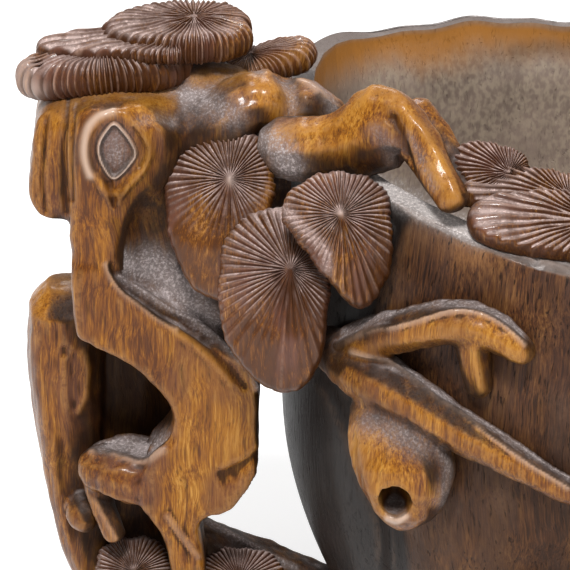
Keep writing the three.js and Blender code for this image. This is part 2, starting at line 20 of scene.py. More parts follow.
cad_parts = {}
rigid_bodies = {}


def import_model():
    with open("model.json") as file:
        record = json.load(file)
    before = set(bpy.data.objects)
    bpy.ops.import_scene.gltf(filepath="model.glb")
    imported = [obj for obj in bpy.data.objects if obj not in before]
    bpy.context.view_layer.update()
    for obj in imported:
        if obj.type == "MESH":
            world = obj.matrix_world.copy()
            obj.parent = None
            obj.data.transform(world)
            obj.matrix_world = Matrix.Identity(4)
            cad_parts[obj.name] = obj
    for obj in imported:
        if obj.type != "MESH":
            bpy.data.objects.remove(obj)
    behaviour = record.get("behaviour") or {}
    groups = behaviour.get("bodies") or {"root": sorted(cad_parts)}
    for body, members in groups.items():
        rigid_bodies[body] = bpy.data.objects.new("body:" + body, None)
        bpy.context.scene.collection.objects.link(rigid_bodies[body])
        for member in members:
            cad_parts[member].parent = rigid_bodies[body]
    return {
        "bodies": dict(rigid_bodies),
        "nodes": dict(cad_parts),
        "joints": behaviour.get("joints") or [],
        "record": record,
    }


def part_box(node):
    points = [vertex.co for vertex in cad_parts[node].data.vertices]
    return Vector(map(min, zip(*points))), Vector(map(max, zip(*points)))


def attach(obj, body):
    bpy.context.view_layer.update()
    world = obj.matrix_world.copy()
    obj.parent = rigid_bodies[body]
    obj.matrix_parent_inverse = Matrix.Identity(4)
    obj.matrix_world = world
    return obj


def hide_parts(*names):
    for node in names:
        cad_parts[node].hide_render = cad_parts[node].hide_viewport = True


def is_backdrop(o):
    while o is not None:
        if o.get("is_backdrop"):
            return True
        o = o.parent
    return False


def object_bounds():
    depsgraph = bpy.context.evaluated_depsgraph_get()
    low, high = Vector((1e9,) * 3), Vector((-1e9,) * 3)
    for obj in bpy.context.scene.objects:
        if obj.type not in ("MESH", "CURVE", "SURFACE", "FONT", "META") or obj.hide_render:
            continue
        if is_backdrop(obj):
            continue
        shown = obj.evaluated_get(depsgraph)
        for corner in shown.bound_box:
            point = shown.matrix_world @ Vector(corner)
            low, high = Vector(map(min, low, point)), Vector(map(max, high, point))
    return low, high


LOG = logging.getLogger("cup")
MM = 0.001
PICTURE = 570.0
SENSOR = 36.0
ANY_DEPTH = (-90.0, 90.0)
WHITE = (1.0, 1.0, 1.0)
Colour = tuple[float, float, float]
Place = tuple[float, float, float]
Pixel = tuple[float, float]
Socket = bpy.types.NodeSocket


# Camera, floor and light


@dataclass(frozen=True)
class Camera:
    """The photograph's viewpoint.

    Attributes:
        target: The point in the middle of the picture.
        elevation: Degrees that the camera looks down.
        distance: From the target to the camera.
        lens: Focal length over a sensor of 36 mm.
        near: Distance from which the camera sees things.
    """

    target: Place = (-42.3, 0.0, 68.6)
    elevation: float = 27.0
    distance: float = 700.0
    lens: float = 287.4
    near: float = 10.0

    def ahead(self) -> np.ndarray:
        """The direction that the camera looks in."""
        tilt = math.radians(self.elevation)
        return np.array([0.0, math.cos(tilt), -math.sin(tilt)])

    def place(self) -> None:
        """Adds the camera and makes it the scene's."""
        eye = np.array(self.target) - self.ahead() * self.distance
        tilt = math.radians(self.elevation)
        bpy.ops.object.camera_add(location=Vector(eye) * MM, rotation=(math.pi / 2 - tilt, 0.0, 0.0))
        camera = bpy.context.object
        camera.name = "camera"
        camera.data.lens = self.lens
        camera.data.sensor_width = SENSOR
        camera.data.clip_start = self.near * MM
        bpy.context.scene.camera = camera

    def see(self, points: np.ndarray) -> tuple[np.ndarray, np.ndarray]:
        """Finds where points fall in the picture.

        Args:
            points: Places, in millimetres.

        Returns:
            Their pixels, and the pixels that a millimetre takes at each.
        """
        ahead = self.ahead()
        above = np.array([0.0, -ahead[2], ahead[1]])
        away = points - (np.array(self.target) - ahead * self.distance)
        scale = self.lens / SENSOR * PICTURE / (away @ ahead)
        pixels = PICTURE / 2 + np.stack([away[:, 0] * scale, -(away @ above) * scale], axis=1)
        return pixels, scale


@dataclass(frozen=True)
class Lamp:
    """A soft rectangular lamp that points at the cup.

    Attributes:
        name: The object's name.
        place: Where it hangs.
        side: Length of its sides.
        watts: Its power.
    """

    name: str
    place: Place
    side: float
    watts: float

    def hang(self, target: Vector) -> None:
        """Adds the lamp.

        Args:
            target: The point that it faces, in metres.
        """
        place = Vector(self.place) * MM
        turn = (target - place).to_track_quat("-Z", "Y").to_euler()
        bpy.ops.object.light_add(type="AREA", location=place, rotation=turn)
        lamp = bpy.context.object
        lamp.name = self.name
        lamp.data.size = self.side * MM
        lamp.data.energy = self.watts


@dataclass(frozen=True)
class Studio:
    """A white table under soft lamps.

    Attributes:
        floor_side: Length of the floor's sides.
        paper: How white the floor is.
        glow: Light of the floor's own, where it is seen directly or mirrored.
        sky: Strength of the even light from all round.
        aim: The point that the lamps face, in metres.
        lamps: The lamps.
    """

    floor_side: float = 6000.0
    paper: float = 0.9
    glow: float = 0.34
    sky: float = 0.38
    aim: Place = (-0.02, 0.0, 0.06)
    lamps: tuple[Lamp, ...] = (
        Lamp("key_lamp", (-130.0, -410.0, 745.0), 150.0, 5.8),
        Lamp("fill_lamp", (620.0, -520.0, 380.0), 420.0, 1.3),
        Lamp("back_lamp", (-60.0, 520.0, 680.0), 320.0, 3.0),
    )

    def build(self) -> None:
        """Adds the floor, the world and the lamps, and sets the view transform."""
        scene = bpy.context.scene
        scene.view_settings.view_transform = "Standard"
        bpy.ops.mesh.primitive_plane_add(size=self.floor_side * MM)
        floor = bpy.context.object
        floor.name = "floor"
        floor.data.materials.append(self._floor_material())
        floor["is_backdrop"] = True
        scene.world = self._world()
        for lamp in self.lamps:
            lamp.hang(Vector(self.aim))

    def _floor_material(self) -> bpy.types.Material:
        """A white floor that glows a little for the camera and keeps its shadows."""
        material = bpy.data.materials.new("white_floor")
        material.use_nodes = True
        tree = NodeTree(material.node_tree, clear=True)
        paper = tree.node("ShaderNodeBsdfDiffuse", {"Color": (self.paper, self.paper, self.paper)})
        path = tree.node("ShaderNodeLightPath")
        seen = tree.math("MAXIMUM", path.outputs["Is Camera Ray"], path.outputs["Is Glossy Ray"])
        seen = tree.math("MAXIMUM", seen, path.outputs["Is Transmission Ray"])
        glow = tree.node("ShaderNodeEmission", {"Color": WHITE, "Strength": tree.times(seen, self.glow)})
        both = tree.node("ShaderNodeAddShader", {0: paper.outputs[0], 1: glow.outputs[0]})
        tree.node("ShaderNodeOutputMaterial", {"Surface": both.outputs[0]})
        return material

    def _world(self) -> bpy.types.World:
        """Even light, and white where the camera sees it."""
        world = bpy.data.worlds.new("studio")
        world.use_nodes = True
        tree = NodeTree(world.node_tree, clear=True)
        path = tree.node("ShaderNodeLightPath")
        seen = tree.math("MAXIMUM", path.outputs["Is Camera Ray"], path.outputs["Is Transmission Ray"])
        strength = tree.math("MAXIMUM", seen, self.sky)
        sky = tree.node("ShaderNodeBackground", {"Color": WHITE, "Strength": strength})
        tree.node("ShaderNodeOutputWorld", {"Surface": sky.outputs[0]})
        return world


# Node trees


class NodeTree:
    """A small hand for building node trees."""

    def __init__(self, tree: bpy.types.NodeTree, clear: bool = False) -> None:
        """Wraps a tree.

        Args:
            tree: The node tree.
            clear: Whether its nodes are removed first.
        """
        self.tree = tree
        if clear:
            tree.nodes.clear()

    def node(self, kind: str, inputs: dict | None = None, **settings: object) -> bpy.types.Node:
        """Adds a node.

        Args:
            kind: The node's type.
            inputs: Input name or number to a value or to the socket that feeds it.
            settings: Properties of the node.

        Returns:
            The node.
        """
        node = self.tree.nodes.new(kind)
        for key, value in settings.items():
            setattr(node, key, value)
        self.feed_all(node, inputs or {})
        return node

    def feed(self, socket: Socket, value: object) -> None:
        """Links a socket to an input, or sets its value."""
        if isinstance(value, bpy.types.NodeSocket):
            self.tree.links.new(value, socket)
        elif isinstance(value, (tuple, list)) and len(value) == 3 and socket.type == "RGBA":
            socket.default_value = (*value, 1.0)
        else:
            socket.default_value = value

    def feed_all(self, node: bpy.types.Node, inputs: dict) -> None:
        """Feeds a node's inputs by name or number."""
        for key, value in inputs.items():
            self.feed(node.inputs[key], value)

    def math(self, operation: str, a: object, b: object = 0.0, clamp: bool = False) -> Socket:
        """A Math node's result."""
        return self.node("ShaderNodeMath", {0: a, 1: b}, operation=operation, use_clamp=clamp).outputs[0]

    def times(self, a: object, b: object) -> Socket:
        """A product."""
        return self.math("MULTIPLY", a, b)

    def total(self, *parts: tuple[object, float]) -> Socket:
        """A sum of values, each times its own share."""
        result: object = 0.0
        for value, share in parts:
            result = self.node(
                "ShaderNodeMath", {0: value, 1: share, 2: result}, operation="MULTIPLY_ADD"
            ).outputs[0]
        return result

    def fit(
        self, value: object, low: float, high: float, to_low: float = 0.0, to_high: float = 1.0
    ) -> Socket:
        """A value mapped smoothly from one range to another, and held there."""
        node = self.node(
            "ShaderNodeMapRange",
            {"Value": value, "From Min": low, "From Max": high, "To Min": to_low, "To Max": to_high},
            interpolation_type="SMOOTHSTEP",
        )
        return node.outputs["Result"]

    def mix(self, factor: object, a: object, b: object) -> Socket:
        """Two colours mixed by a factor."""
        node = self.node("ShaderNodeMix", data_type="RGBA", clamp_factor=True)
        self.feed(node.inputs[0], factor)
        self.feed(node.inputs[6], a)
        self.feed(node.inputs[7], b)
        return node.outputs[2]

    def ramp(self, value: object, *stops: tuple[float, Colour]) -> Socket:
        """A colour ramp's colour."""
        node = self.node("ShaderNodeValToRGB", {"Fac": value})
        elements = node.color_ramp.elements
        while len(elements) < len(stops):
            elements.new(0.5)
        for element, (position, colour) in zip(elements, stops):
            element.position = position
            element.color = (*colour, 1.0)
        return node.outputs["Color"]

    def attribute(self, name: str) -> Socket:
        """A number that each vertex carries."""
        return self.node("ShaderNodeAttribute", attribute_name=name).outputs["Fac"]

    def millimetres(self, stretch: Place = (1.0, 1.0, 1.0), shift: Place = (0.0, 0.0, 0.0)) -> Socket:
        """Object coordinates in millimetres, stretched and shifted."""
        source = self.node("ShaderNodeTexCoord").outputs["Object"]
        scale = tuple(part / MM for part in stretch)
        values = {"Vector": source, "Scale": scale, "Location": shift}
        return self.node("ShaderNodeMapping", values).outputs[0]

    def moved(self, vector: Socket, push: Socket) -> Socket:
        """A vector with another added."""
        return self.node("ShaderNodeVectorMath", {0: vector, 1: push}, operation="ADD").outputs[0]

    def axis(self, vector: Socket, name: str) -> Socket:
        """One part of a vector: X, Y or Z."""
        return self.node("ShaderNodeSeparateXYZ", {0: vector}).outputs[name]

    def noise(self, vector: Socket, scale: float, detail: float = 3.0, roughness: float = 0.55) -> Socket:
        """A noise value around a half."""
        values = {"Vector": vector, "Scale": scale, "Detail": detail, "Roughness": roughness}
        return self.node("ShaderNodeTexNoise", values).outputs["Fac"]

    def group(self, name: str, **inputs: object) -> bpy.types.Node:
        """Adds a shared node group with its own input values."""
        return self.node("ShaderNodeGroup", inputs, node_tree=bpy.data.node_groups[name])


def new_group(
    name: str, inputs: dict[str, float], outputs: tuple[str, ...]
) -> tuple[NodeTree, dict[str, Socket], bpy.types.Node]:
    """Makes an empty shader node group of numbers.

    Args:
        name: The group's name.
        inputs: Names of its inputs, with their default values.
        outputs: Names of its outputs.

    Returns:
        The tree, its input sockets by name, and its output node.
    """
    tree = bpy.data.node_groups.new(name, "ShaderNodeTree")
    for key, value in inputs.items():
        socket = tree.interface.new_socket(key, in_out="INPUT", socket_type="NodeSocketFloat")
        socket.default_value = value
    for key in outputs:
        tree.interface.new_socket(key, in_out="OUTPUT", socket_type="NodeSocketFloat")
    builder = NodeTree(tree)
    source = builder.node("NodeGroupInput")
    sink = builder.node("NodeGroupOutput")
    return builder, {key: source.outputs[key] for key in inputs}, sink


def make_horn_fibres() -> None:
    """Makes the effect of horn's fibres, which run up and down, with dark pores between them."""
    tree, given, out = new_group("horn_fibres", {"Cracks": 0.5}, ("Tone", "Crack", "Height"))
    sway = tree.fit(tree.noise(tree.millimetres(), 0.07, 1.0), 0.25, 0.75, -0.7, 0.7)
    push = tree.node("ShaderNodeCombineXYZ", {"X": sway, "Y": sway}).outputs[0]
    drawn = tree.moved(tree.millimetres((1.0, 1.0, 0.045)), push)
    fibre = tree.noise(drawn, 2.3, 4.0, 0.66)
    flecks = tree.noise(drawn, 4.4, 3.0, 0.7)
    bands = tree.noise(drawn, 0.33, 2.0, 0.5)
    short = tree.moved(tree.millimetres((1.0, 1.0, 0.1), (7.0, 3.0, 5.0)), push)
    pores = tree.fit(tree.noise(short, 2.5, 2.0, 0.6), 0.40, 0.31)
    crack = tree.math("MULTIPLY", pores, given["Cracks"], clamp=True)
    tree.feed_all(out, {
        "Tone": tree.total((fibre, 0.46), (flecks, 0.36), (bands, 0.18)),
        "Crack": crack,
        "Height": tree.total((fibre, 0.45), (flecks, 0.3), (crack, -0.9)),
    })


def make_settled_dust() -> None:
    """Makes the effect of dust: on sheltered faces that face up, and where strokes paint it."""
    defaults = {"Open": 0.2, "Sheltered": 0.8, "Painted": 1.0}
    tree, given, out = new_group("settled_dust", defaults, ("Mask", "Speck"))
    up = tree.axis(tree.node("ShaderNodeNewGeometry").outputs["Normal"], "Z")
    lying = tree.fit(up, 0.3, 0.95)
    patches = tree.fit(tree.noise(tree.millimetres(), 0.4, 5.0, 0.65), 0.36, 0.64, 0.3, 1.0)
    specks = tree.noise(tree.millimetres(shift=(4.0, 1.0, 9.0)), 2.3, 3.0, 0.7)
    kept = tree.times(tree.attribute("shelter"), given["Sheltered"])
    kept = tree.math("ADD", kept, given["Open"], clamp=True)
    kept = tree.times(kept, tree.fit(tree.attribute("amber"), 0.0, 0.8, 1.0, 0.4))
    hollow = tree.fit(tree.attribute("crest"), 0.3, -0.6, 0.35, 1.25)
    mask = tree.times(tree.times(lying, patches), tree.times(kept, hollow))
    painted = tree.times(tree.attribute("dusty"), given["Painted"])
    mask = tree.math("ADD", mask, tree.times(painted, tree.fit(specks, 0.3, 0.62, 0.55, 1.0)))
    speck = tree.times(tree.fit(specks, 0.5, 0.66), mask)
    mask = tree.math("ADD", mask, tree.times(speck, 0.5), clamp=True)
    tree.feed_all(out, {"Mask": mask, "Speck": speck})


def make_shade_and_dirt_mask() -> None:
    """Makes a dark mask, partly dirt and partly painted shade: in deep places and grooves, and where strokes
    paint it.
    """
    tree, given, out = new_group("shade_and_dirt_mask", {"Deep": 0.9, "Grooves": 0.8}, ("Mask",))
    # Painted shade: deep places, such as holes and the spaces under and between parts, are darkened.
    deep = tree.times(tree.fit(tree.attribute("deep"), 0.25, 1.0), given["Deep"])
    # Painted shade, with some dirt, in grooves and creases.
    groove = tree.times(tree.fit(tree.attribute("crest"), -0.15, -1.0), given["Grooves"])
    drift = tree.fit(tree.noise(tree.millimetres((1.0, 1.0, 0.5)), 0.5, 3.0), 0.3, 0.6, 0.75, 1.0)
    mask = tree.times(tree.math("MAXIMUM", deep, groove), drift)
    mask = tree.times(mask, tree.fit(tree.attribute("amber"), 0.0, 0.8, 1.0, 0.35))
    mask = tree.math("MAXIMUM", mask, tree.attribute("painted_shade_and_dirt"))
    tree.feed_all(out, {"Mask": tree.math("MINIMUM", mask, 1.0)})


def make_rubbed_and_highlit_edges() -> None:
    """Makes the mask of edges that are rubbed light, also where strokes paint them; on the needles' ridges
    and the stroked lines it is partly painted highlight.
    """
    tree, given, out = new_group("rubbed_and_highlit_edges", {"Amount": 0.6}, ("Mask",))
    crest = tree.fit(tree.attribute("crest"), 0.2, 1.0)
    chips = tree.fit(tree.noise(tree.millimetres(), 1.1, 3.0, 0.6), 0.36, 0.56, 0.35, 1.0)
    mask = tree.times(tree.times(crest, chips), given["Amount"])
    mask = tree.math("MAXIMUM", mask, tree.attribute("rubbed_and_highlit"))
    tree.feed_all(out, {"Mask": tree.math("MINIMUM", mask, 1.0)})


# Finishes


@dataclass(frozen=True)
class Finish:
    """A finish of carved horn.

    Attributes:
        name: The material's name.
        dark: Colour of the darkest fibres.
        middle: Colour of most of the surface.
        light: Colour of light fibres.
        bright: Colour of the brightest fibres.
        plum: Colour of the cooler patches.
        edge: Colour of rubbed edges, which on the needles' ridges is also painted highlight.
        pale_rub_highlight: Colour of the pale lines that strokes paint: partly rubbed edges, partly painted
            highlights.
        shade_and_dirt: Colour of the painted shade in deep places and grooves, and of the dirt there.
        dust: Colour of the dust.
        dust_open: Dust on open faces that face up.
        dust_sheltered: Dust on sheltered faces that face up.
        deep: Strength of the painted shade and dirt in deep places.
        grooves: Strength of the painted shade and dirt in grooves.
        cracks: Strength of the dark pores along the fibres.
        rubbing_and_highlight: Strength of the rubbed edges, which on the needles' ridges are also painted
            highlights.
        relief: Strength of the grain's bump.
        roughness: Of clean horn.
        polish: Weight of the wax on clean horn.
        wax_roughness: Of the wax.
        index: Index of refraction.
        specular: Level of the mirrored light.
        grain: Depth of the grain's bump.
        pale_rub_highlighted: Share of the pale colour where strokes paint rubbed edges and highlights.
        speck: How much brighter than the dust its specks are.
    """

    name: str
    dark: Colour = (0.095, 0.026, 0.003)
    middle: Colour = (0.20, 0.062, 0.005)
    light: Colour = (0.34, 0.128, 0.009)
    bright: Colour = (0.50, 0.235, 0.04)
    plum: Colour = (0.125, 0.042, 0.020)
    edge: Colour = (0.44, 0.21, 0.06)
    pale_rub_highlight: Colour = (0.66, 0.55, 0.50)
    shade_and_dirt: Colour = (0.014, 0.006, 0.003)
    dust: Colour = (0.33, 0.28, 0.27)
    dust_open: float = 0.04
    dust_sheltered: float = 0.55
    deep: float = 0.92
    grooves: float = 0.8
    cracks: float = 0.45
    rubbing_and_highlight: float = 0.35
    relief: float = 0.45
    roughness: float = 0.38
    polish: float = 0.26
    wax_roughness: float = 0.15
    index: float = 1.5
    specular: float = 0.14
    grain: float = 0.3
    pale_rub_highlighted: float = 0.6
    speck: float = 1.6

    def make(self) -> None:
        """Builds the material."""
        material = bpy.data.materials.new(self.name)
        material.use_nodes = True
        tree = NodeTree(material.node_tree, clear=True)
        fibres = tree.group("horn_fibres", Cracks=self.cracks)
        rubbing_and_highlight = tree.group("rubbed_and_highlit_edges", Amount=self.rubbing_and_highlight).outputs["Mask"]
        shade_and_dirt = tree.group("shade_and_dirt_mask", Deep=self.deep, Grooves=self.grooves).outputs["Mask"]
        settled = tree.group("settled_dust", Open=self.dust_open, Sheltered=self.dust_sheltered)
        dust, speck = settled.outputs["Mask"], settled.outputs["Speck"]
        # Rubbed edges turn light; on the needles' ridges this is also painted highlight.
        colour = tree.mix(rubbing_and_highlight, self.body(tree, fibres), self.edge)
        # Strokes paint pale lines: partly rubbed edges, partly painted highlights on ridges, ledges and lips.
        colour = tree.mix(tree.times(tree.attribute("rubbed_and_highlit"), self.pale_rub_highlighted), colour, self.pale_rub_highlight)
        # Painted shade, with some dirt: deep places, grooves and the strokes that paint them turn dark.
        colour = tree.mix(shade_and_dirt, colour, self.shade_and_dirt)
        bright = tuple(min(1.0, part * self.speck) for part in self.dust)
        colour = tree.mix(dust, colour, tree.mix(speck, self.dust, bright))
        matt = tree.total((dust, 0.5), (shade_and_dirt, 0.15), (fibres.outputs["Crack"], 0.2))
        height = tree.total((fibres.outputs["Height"], 1.0), (speck, 0.5))
        values = {"Height": height, "Strength": self.relief, "Distance": self.grain * MM}
        bump = tree.node("ShaderNodeBump", values)
        horn = tree.node("ShaderNodeBsdfPrincipled", {
            "Base Color": colour,
            "Roughness": tree.math("ADD", matt, self.roughness, clamp=True),
            "Normal": bump.outputs[0],
            "IOR": self.index,
            "Specular IOR Level": self.specular,
            "Coat Weight": tree.fit(tree.math("MAXIMUM", dust, shade_and_dirt), 0.1, 0.6, self.polish, 0.0),
            "Coat Roughness": self.wax_roughness,
        })
        tree.node("ShaderNodeOutputMaterial", {"Surface": horn.outputs[0]})

    def body(self, tree: NodeTree, fibres: bpy.types.Node) -> Socket:
        """The horn's colour: fibres, pores, amber and plum patches, and painted shade towards lower x.

        Args:
            tree: The material's tree.
            fibres: The placed group of fibres.

        Returns:
            The colour.
        """
        patch = tree.noise(tree.millimetres((1.0, 1.0, 0.35)), 0.13, 2.0)
        tone = tree.total((fibres.outputs["Tone"], 1.0), (patch, 0.25), (tree.attribute("amber"), 0.1))
        # Painted shade: the tone falls towards the handle's left end, at lower x.
        painted_left_shade = tree.fit(tree.axis(tree.millimetres(), "X"), -78.0, -58.0, 0.155, 0.125)
        tone = tree.math("SUBTRACT", tone, painted_left_shade)
        stops = ((0.42, self.dark), (0.49, self.middle), (0.56, self.light), (0.64, self.bright))
        colour = tree.ramp(tone, *stops)
        cool = tree.fit(tree.noise(tree.millimetres((1.0, 1.0, 0.3), (3.0, 8.0, 1.0)), 0.17, 3.0), 0.46, 0.62)
        colour = tree.mix(tree.times(cool, 0.55), colour, self.plum)
        colour = tree.mix(tree.times(tree.attribute("amber"), 0.5), colour, self.light)
        return tree.mix(fibres.outputs["Crack"], colour, tuple(part * 0.5 for part in self.dark))


@dataclass(frozen=True)
class NeedleFinish(Finish):
    """The needle clusters: dark grooves that are partly painted shade, ridges rubbed light and partly painted
    highlight, and fibres where the needles fade.
    """

    name: str = "pine_needles"
    dark: Colour = (0.075, 0.024, 0.006)
    middle: Colour = (0.088, 0.026, 0.004)
    light: Colour = (0.175, 0.058, 0.006)
    bright: Colour = (0.40, 0.18, 0.04)
    plum: Colour = (0.15, 0.06, 0.042)
    # The pale ridges are rubbed and partly painted highlight.
    edge: Colour = (0.42, 0.26, 0.19)
    shade_and_dirt: Colour = (0.026, 0.009, 0.004)
    dust: Colour = (0.44, 0.33, 0.30)
    dust_open: float = 1.2
    dust_sheltered: float = 0.3
    # Deep places and grooves are darkened: painted shade, with some dirt.
    deep: float = 0.6
    grooves: float = 0.62
    cracks: float = 0.3
    rubbing_and_highlight: float = 0.65
    roughness: float = 0.34
    polish: float = 0.4


@dataclass(frozen=True)
class VesselFinish(Finish):
    """The vessel: dark and smooth at the handle, partly in painted shade, barked in front, mottled inside,
    amber under the lip.

    Attributes:
        low_bark: Colour that the bark turns to towards the foot.
        smooth: Colours of the smooth wall beside the handle, dark and light; their darkness is partly the
            horn's dark core and partly painted shade.
        brown: Colours of the smooth wall farther from the handle, dark and light.
        lining: Colour of the inside.
        spot: Colour of the mottles inside.
        amber: Colour of the band under the lip.
        lip_tone: Colour of the lip.
    """

    name: str = "vessel_horn"
    dark: Colour = (0.030, 0.012, 0.007)
    middle: Colour = (0.12, 0.043, 0.017)
    light: Colour = (0.215, 0.088, 0.028)
    bright: Colour = (0.33, 0.15, 0.05)
    plum: Colour = (0.075, 0.038, 0.028)
    edge: Colour = (0.22, 0.13, 0.08)
    dust_open: float = 0.1
    dust_sheltered: float = 0.5
    deep: float = 0.5
    grooves: float = 0.4
    cracks: float = 0.9
    rubbing_and_highlight: float = 0.25
    relief: float = 0.55
    polish: float = 0.15
    low_bark: Colour = (0.075, 0.036, 0.018)
    smooth: tuple[Colour, Colour] = ((0.013, 0.0105, 0.0095), (0.024, 0.019, 0.017))
    brown: tuple[Colour, Colour] = ((0.036, 0.020, 0.012), (0.08, 0.042, 0.02))
    lining: Colour = (0.31, 0.235, 0.19)
    spot: Colour = (0.50, 0.41, 0.30)
    amber: Colour = (0.42, 0.175, 0.035)
    lip_tone: Colour = (0.15, 0.115, 0.10)
    dust: Colour = (0.52, 0.47, 0.45)

    def body(self, tree: NodeTree, fibres: bpy.types.Node) -> Socket:
        """Bark or smooth horn outside, mottles inside, and the lip.

        Args:
            tree: The material's tree.
            fibres: The placed group of fibres.

        Returns:
            The colour.
        """
        below = tree.attribute("below_rim")
        streaks = tree.fit(fibres.outputs["Tone"], 0.42, 0.62)
        bark = tree.mix(tree.fit(below, 16.0, 30.0, 0.0, 0.4), super().body(tree, fibres), self.low_bark)
        # Painted shade with the horn's dark core: the smooth wall turns darker towards the handle, at lower
        # x.
        along = tree.fit(tree.axis(tree.millimetres(), "X"), -22.0, 14.0, 0.0, 0.85)
        plain = tree.mix(along, tree.mix(streaks, *self.smooth), tree.mix(streaks, *self.brown))
        colour = tree.mix(tree.attribute("bark"), plain, bark)
        fine = tree.fit(tree.noise(tree.millimetres((1.0, 1.0, 0.7)), 1.25, 1.0, 0.5), 0.32, 0.68)
        drift = tree.fit(tree.noise(tree.millimetres(), 0.05, 2.0), 0.38, 0.62, 0.25, 1.0)
        clouds = tree.fit(tree.noise(tree.millimetres(), 0.07, 3.0), 0.4, 0.62)
        lining = tree.mix(clouds, self.lining, tuple(part * 0.72 for part in self.lining))
        lining = tree.mix(tree.times(tree.times(fine, drift), 0.5), lining, self.spot)
        wave = tree.total((tree.noise(tree.millimetres((1.0, 1.0, 0.15)), 0.1, 4.0), 10.0))
        band = tree.fit(tree.math("SUBTRACT", tree.math("ADD", below, wave), 5.0), 9.0, 2.0)
        band = tree.times(band, tree.fit(below, 0.2, 1.4, 0.4, 1.0))
        colour = tree.mix(tree.attribute("inside"), colour, tree.mix(band, lining, self.amber))
        return tree.mix(tree.attribute("lip"), colour, self.lip_tone)


# Meshes


def select_only(obj: bpy.types.Object) -> None:
    """Makes one object the only selected and the active one."""
    bpy.ops.object.select_all(action="DESELECT")
    obj.select_set(True)
    bpy.context.view_layer.objects.active = obj


def apply_modifier(obj: bpy.types.Object, kind: str, **settings: object) -> None:
    """Adds a modifier to an object and applies it.

    Args:
        obj: The object.
        kind: The modifier's type.
        settings: Properties of the modifier.
    """
    select_only(obj)
    modifier = obj.modifiers.new(kind.lower(), kind)
    for key, value in settings.items():
        setattr(modifier, key, value)
    bpy.ops.object.modifier_apply(modifier=modifier.name)


def smoothstep(value: np.ndarray, low: float, high: float) -> np.ndarray:
    """A smooth step from 0 at low to 1 at high."""
    share = np.clip((value - low) / (high - low), 0.0, 1.0)
    return share * share * (3.0 - 2.0 * share)


def scatter(numbers: np.ndarray, seed: float) -> np.ndarray:
    """A value from 0 to 1 for each number, as if by chance."""
    return np.modf(np.abs(np.sin(numbers * 12.9898 + seed) * 43758.5453))[0]


def ripple(points: np.ndarray, length: float, seed: int) -> np.ndarray:
    """Gentle uneven waves through space.

    Args:
        points: Places, in millimetres.
        length: The waves' length.
        seed: Chooses the waves.

    Returns:
        A height at each place, mostly between -1 and 1.
    """
    waves = 8
    random = np.random.default_rng(seed)
    height = np.zeros(len(points))
    for _ in range(waves):
        way = random.normal(size=3)
        way *= 2 * math.pi / length * random.uniform(0.7, 1.4) / np.linalg.norm(way)
        height += np.sin(points @ way + random.uniform(0, 2 * math.pi))
    return height / (waves / 2)


class Coat(Enum):
    """What a stroke paints."""

    # This coat paints rubbed edges, and also painted highlights along ridges, ledges, lips and hubs.
    RUBBED_AND_HIGHLIT = "rubbed_and_highlit"
    DUSTY = "dusty"
    # This coat paints dirt, and also painted shade in holes, recesses, creases and under parts.
    SHADE_AND_DIRT = "painted_shade_and_dirt"
    AMBER = "amber"


RUBBED_AND_HIGHLIT, DUSTY, SHADE_AND_DIRT, AMBER = Coat


class Skin:
    """A mesh's points and normals, in millimetres, for carving and painting it."""

    FULL_CREST = 0.05

    def __init__(self, mesh: bpy.types.Mesh) -> None:
        """Reads a mesh.

        Args:
            mesh: The mesh.
        """
        self.mesh = mesh
        self.read()
        pairs = np.empty(len(mesh.edges) * 2, dtype=np.int32)
        mesh.edges.foreach_get("vertices", pairs)
        self.ends = pairs.reshape(-1, 2)
        self.degree = np.maximum(np.bincount(pairs, minlength=len(self.points)), 1)
        self.coats = {coat: np.zeros(len(self.points)) for coat in Coat}

    def read(self) -> None:
        """Reads the points and the normals."""
        count = len(self.mesh.vertices)
        points = np.empty(count * 3)
        self.mesh.vertices.foreach_get("co", points)
        normals = np.empty(count * 3, dtype=np.float32)
        self.mesh.vertex_normals.foreach_get("vector", normals)
        self.points = points.reshape(-1, 3) / MM
        self.normals = normals.reshape(-1, 3).astype(np.float64)

    def write(self, points: np.ndarray) -> None:
        """Moves the vertices."""
        self.mesh.vertices.foreach_set("co", (points * MM).astype(np.float32).ravel())
        self.mesh.update()
        self.read()

    def blur(self, values: np.ndarray, rounds: int, area: np.ndarray | None = None) -> np.ndarray:
        """Averages values with their neighbours'.

        Args:
            values: A number or a place for each vertex.
            rounds: How many times.
            area: Where it is done, or nothing for everywhere.

        Returns:
            The averaged values.
        """
        chosen = np.ones(len(values), dtype=bool) if area is None else area
        place = np.cumsum(chosen) - 1
        ends = place[self.ends[chosen[self.ends].all(axis=1)]]
        table = values.reshape(len(values), -1)[chosen].astype(np.float64)
        degree = np.maximum(np.bincount(ends.ravel(), minlength=len(table)), 1)[:, None]
        full = (degree[:, 0] == self.degree[chosen])[:, None]
        a, b = ends[:, 0], ends[:, 1]
        for _ in range(rounds):
            columns = [
                np.bincount(a, column[b], len(column)) + np.bincount(b, column[a], len(column))
                for column in table.T
            ]
            table = np.where(full, 0.5 * table + 0.5 * np.stack(columns, axis=1) / degree, table)
        result = values.reshape(len(values), -1).astype(np.float64)
        result[chosen] = table
        return result.reshape(values.shape)

    def crest(self, rounds: int) -> np.ndarray:
        """How far each point stands out from its surroundings, from -1 to 1."""
        out = ((self.points - self.blur(self.points, rounds)) * self.normals).sum(axis=1)
        return np.clip(out / self.FULL_CREST, -1.0, 1.0)

    def keep(self, name: str, values: np.ndarray) -> None:
        """Keeps a number for each vertex, for the materials."""
        layer = self.mesh.attributes.new(name, "FLOAT", "POINT")
        layer.data.foreach_set("value", values.astype(np.float32))
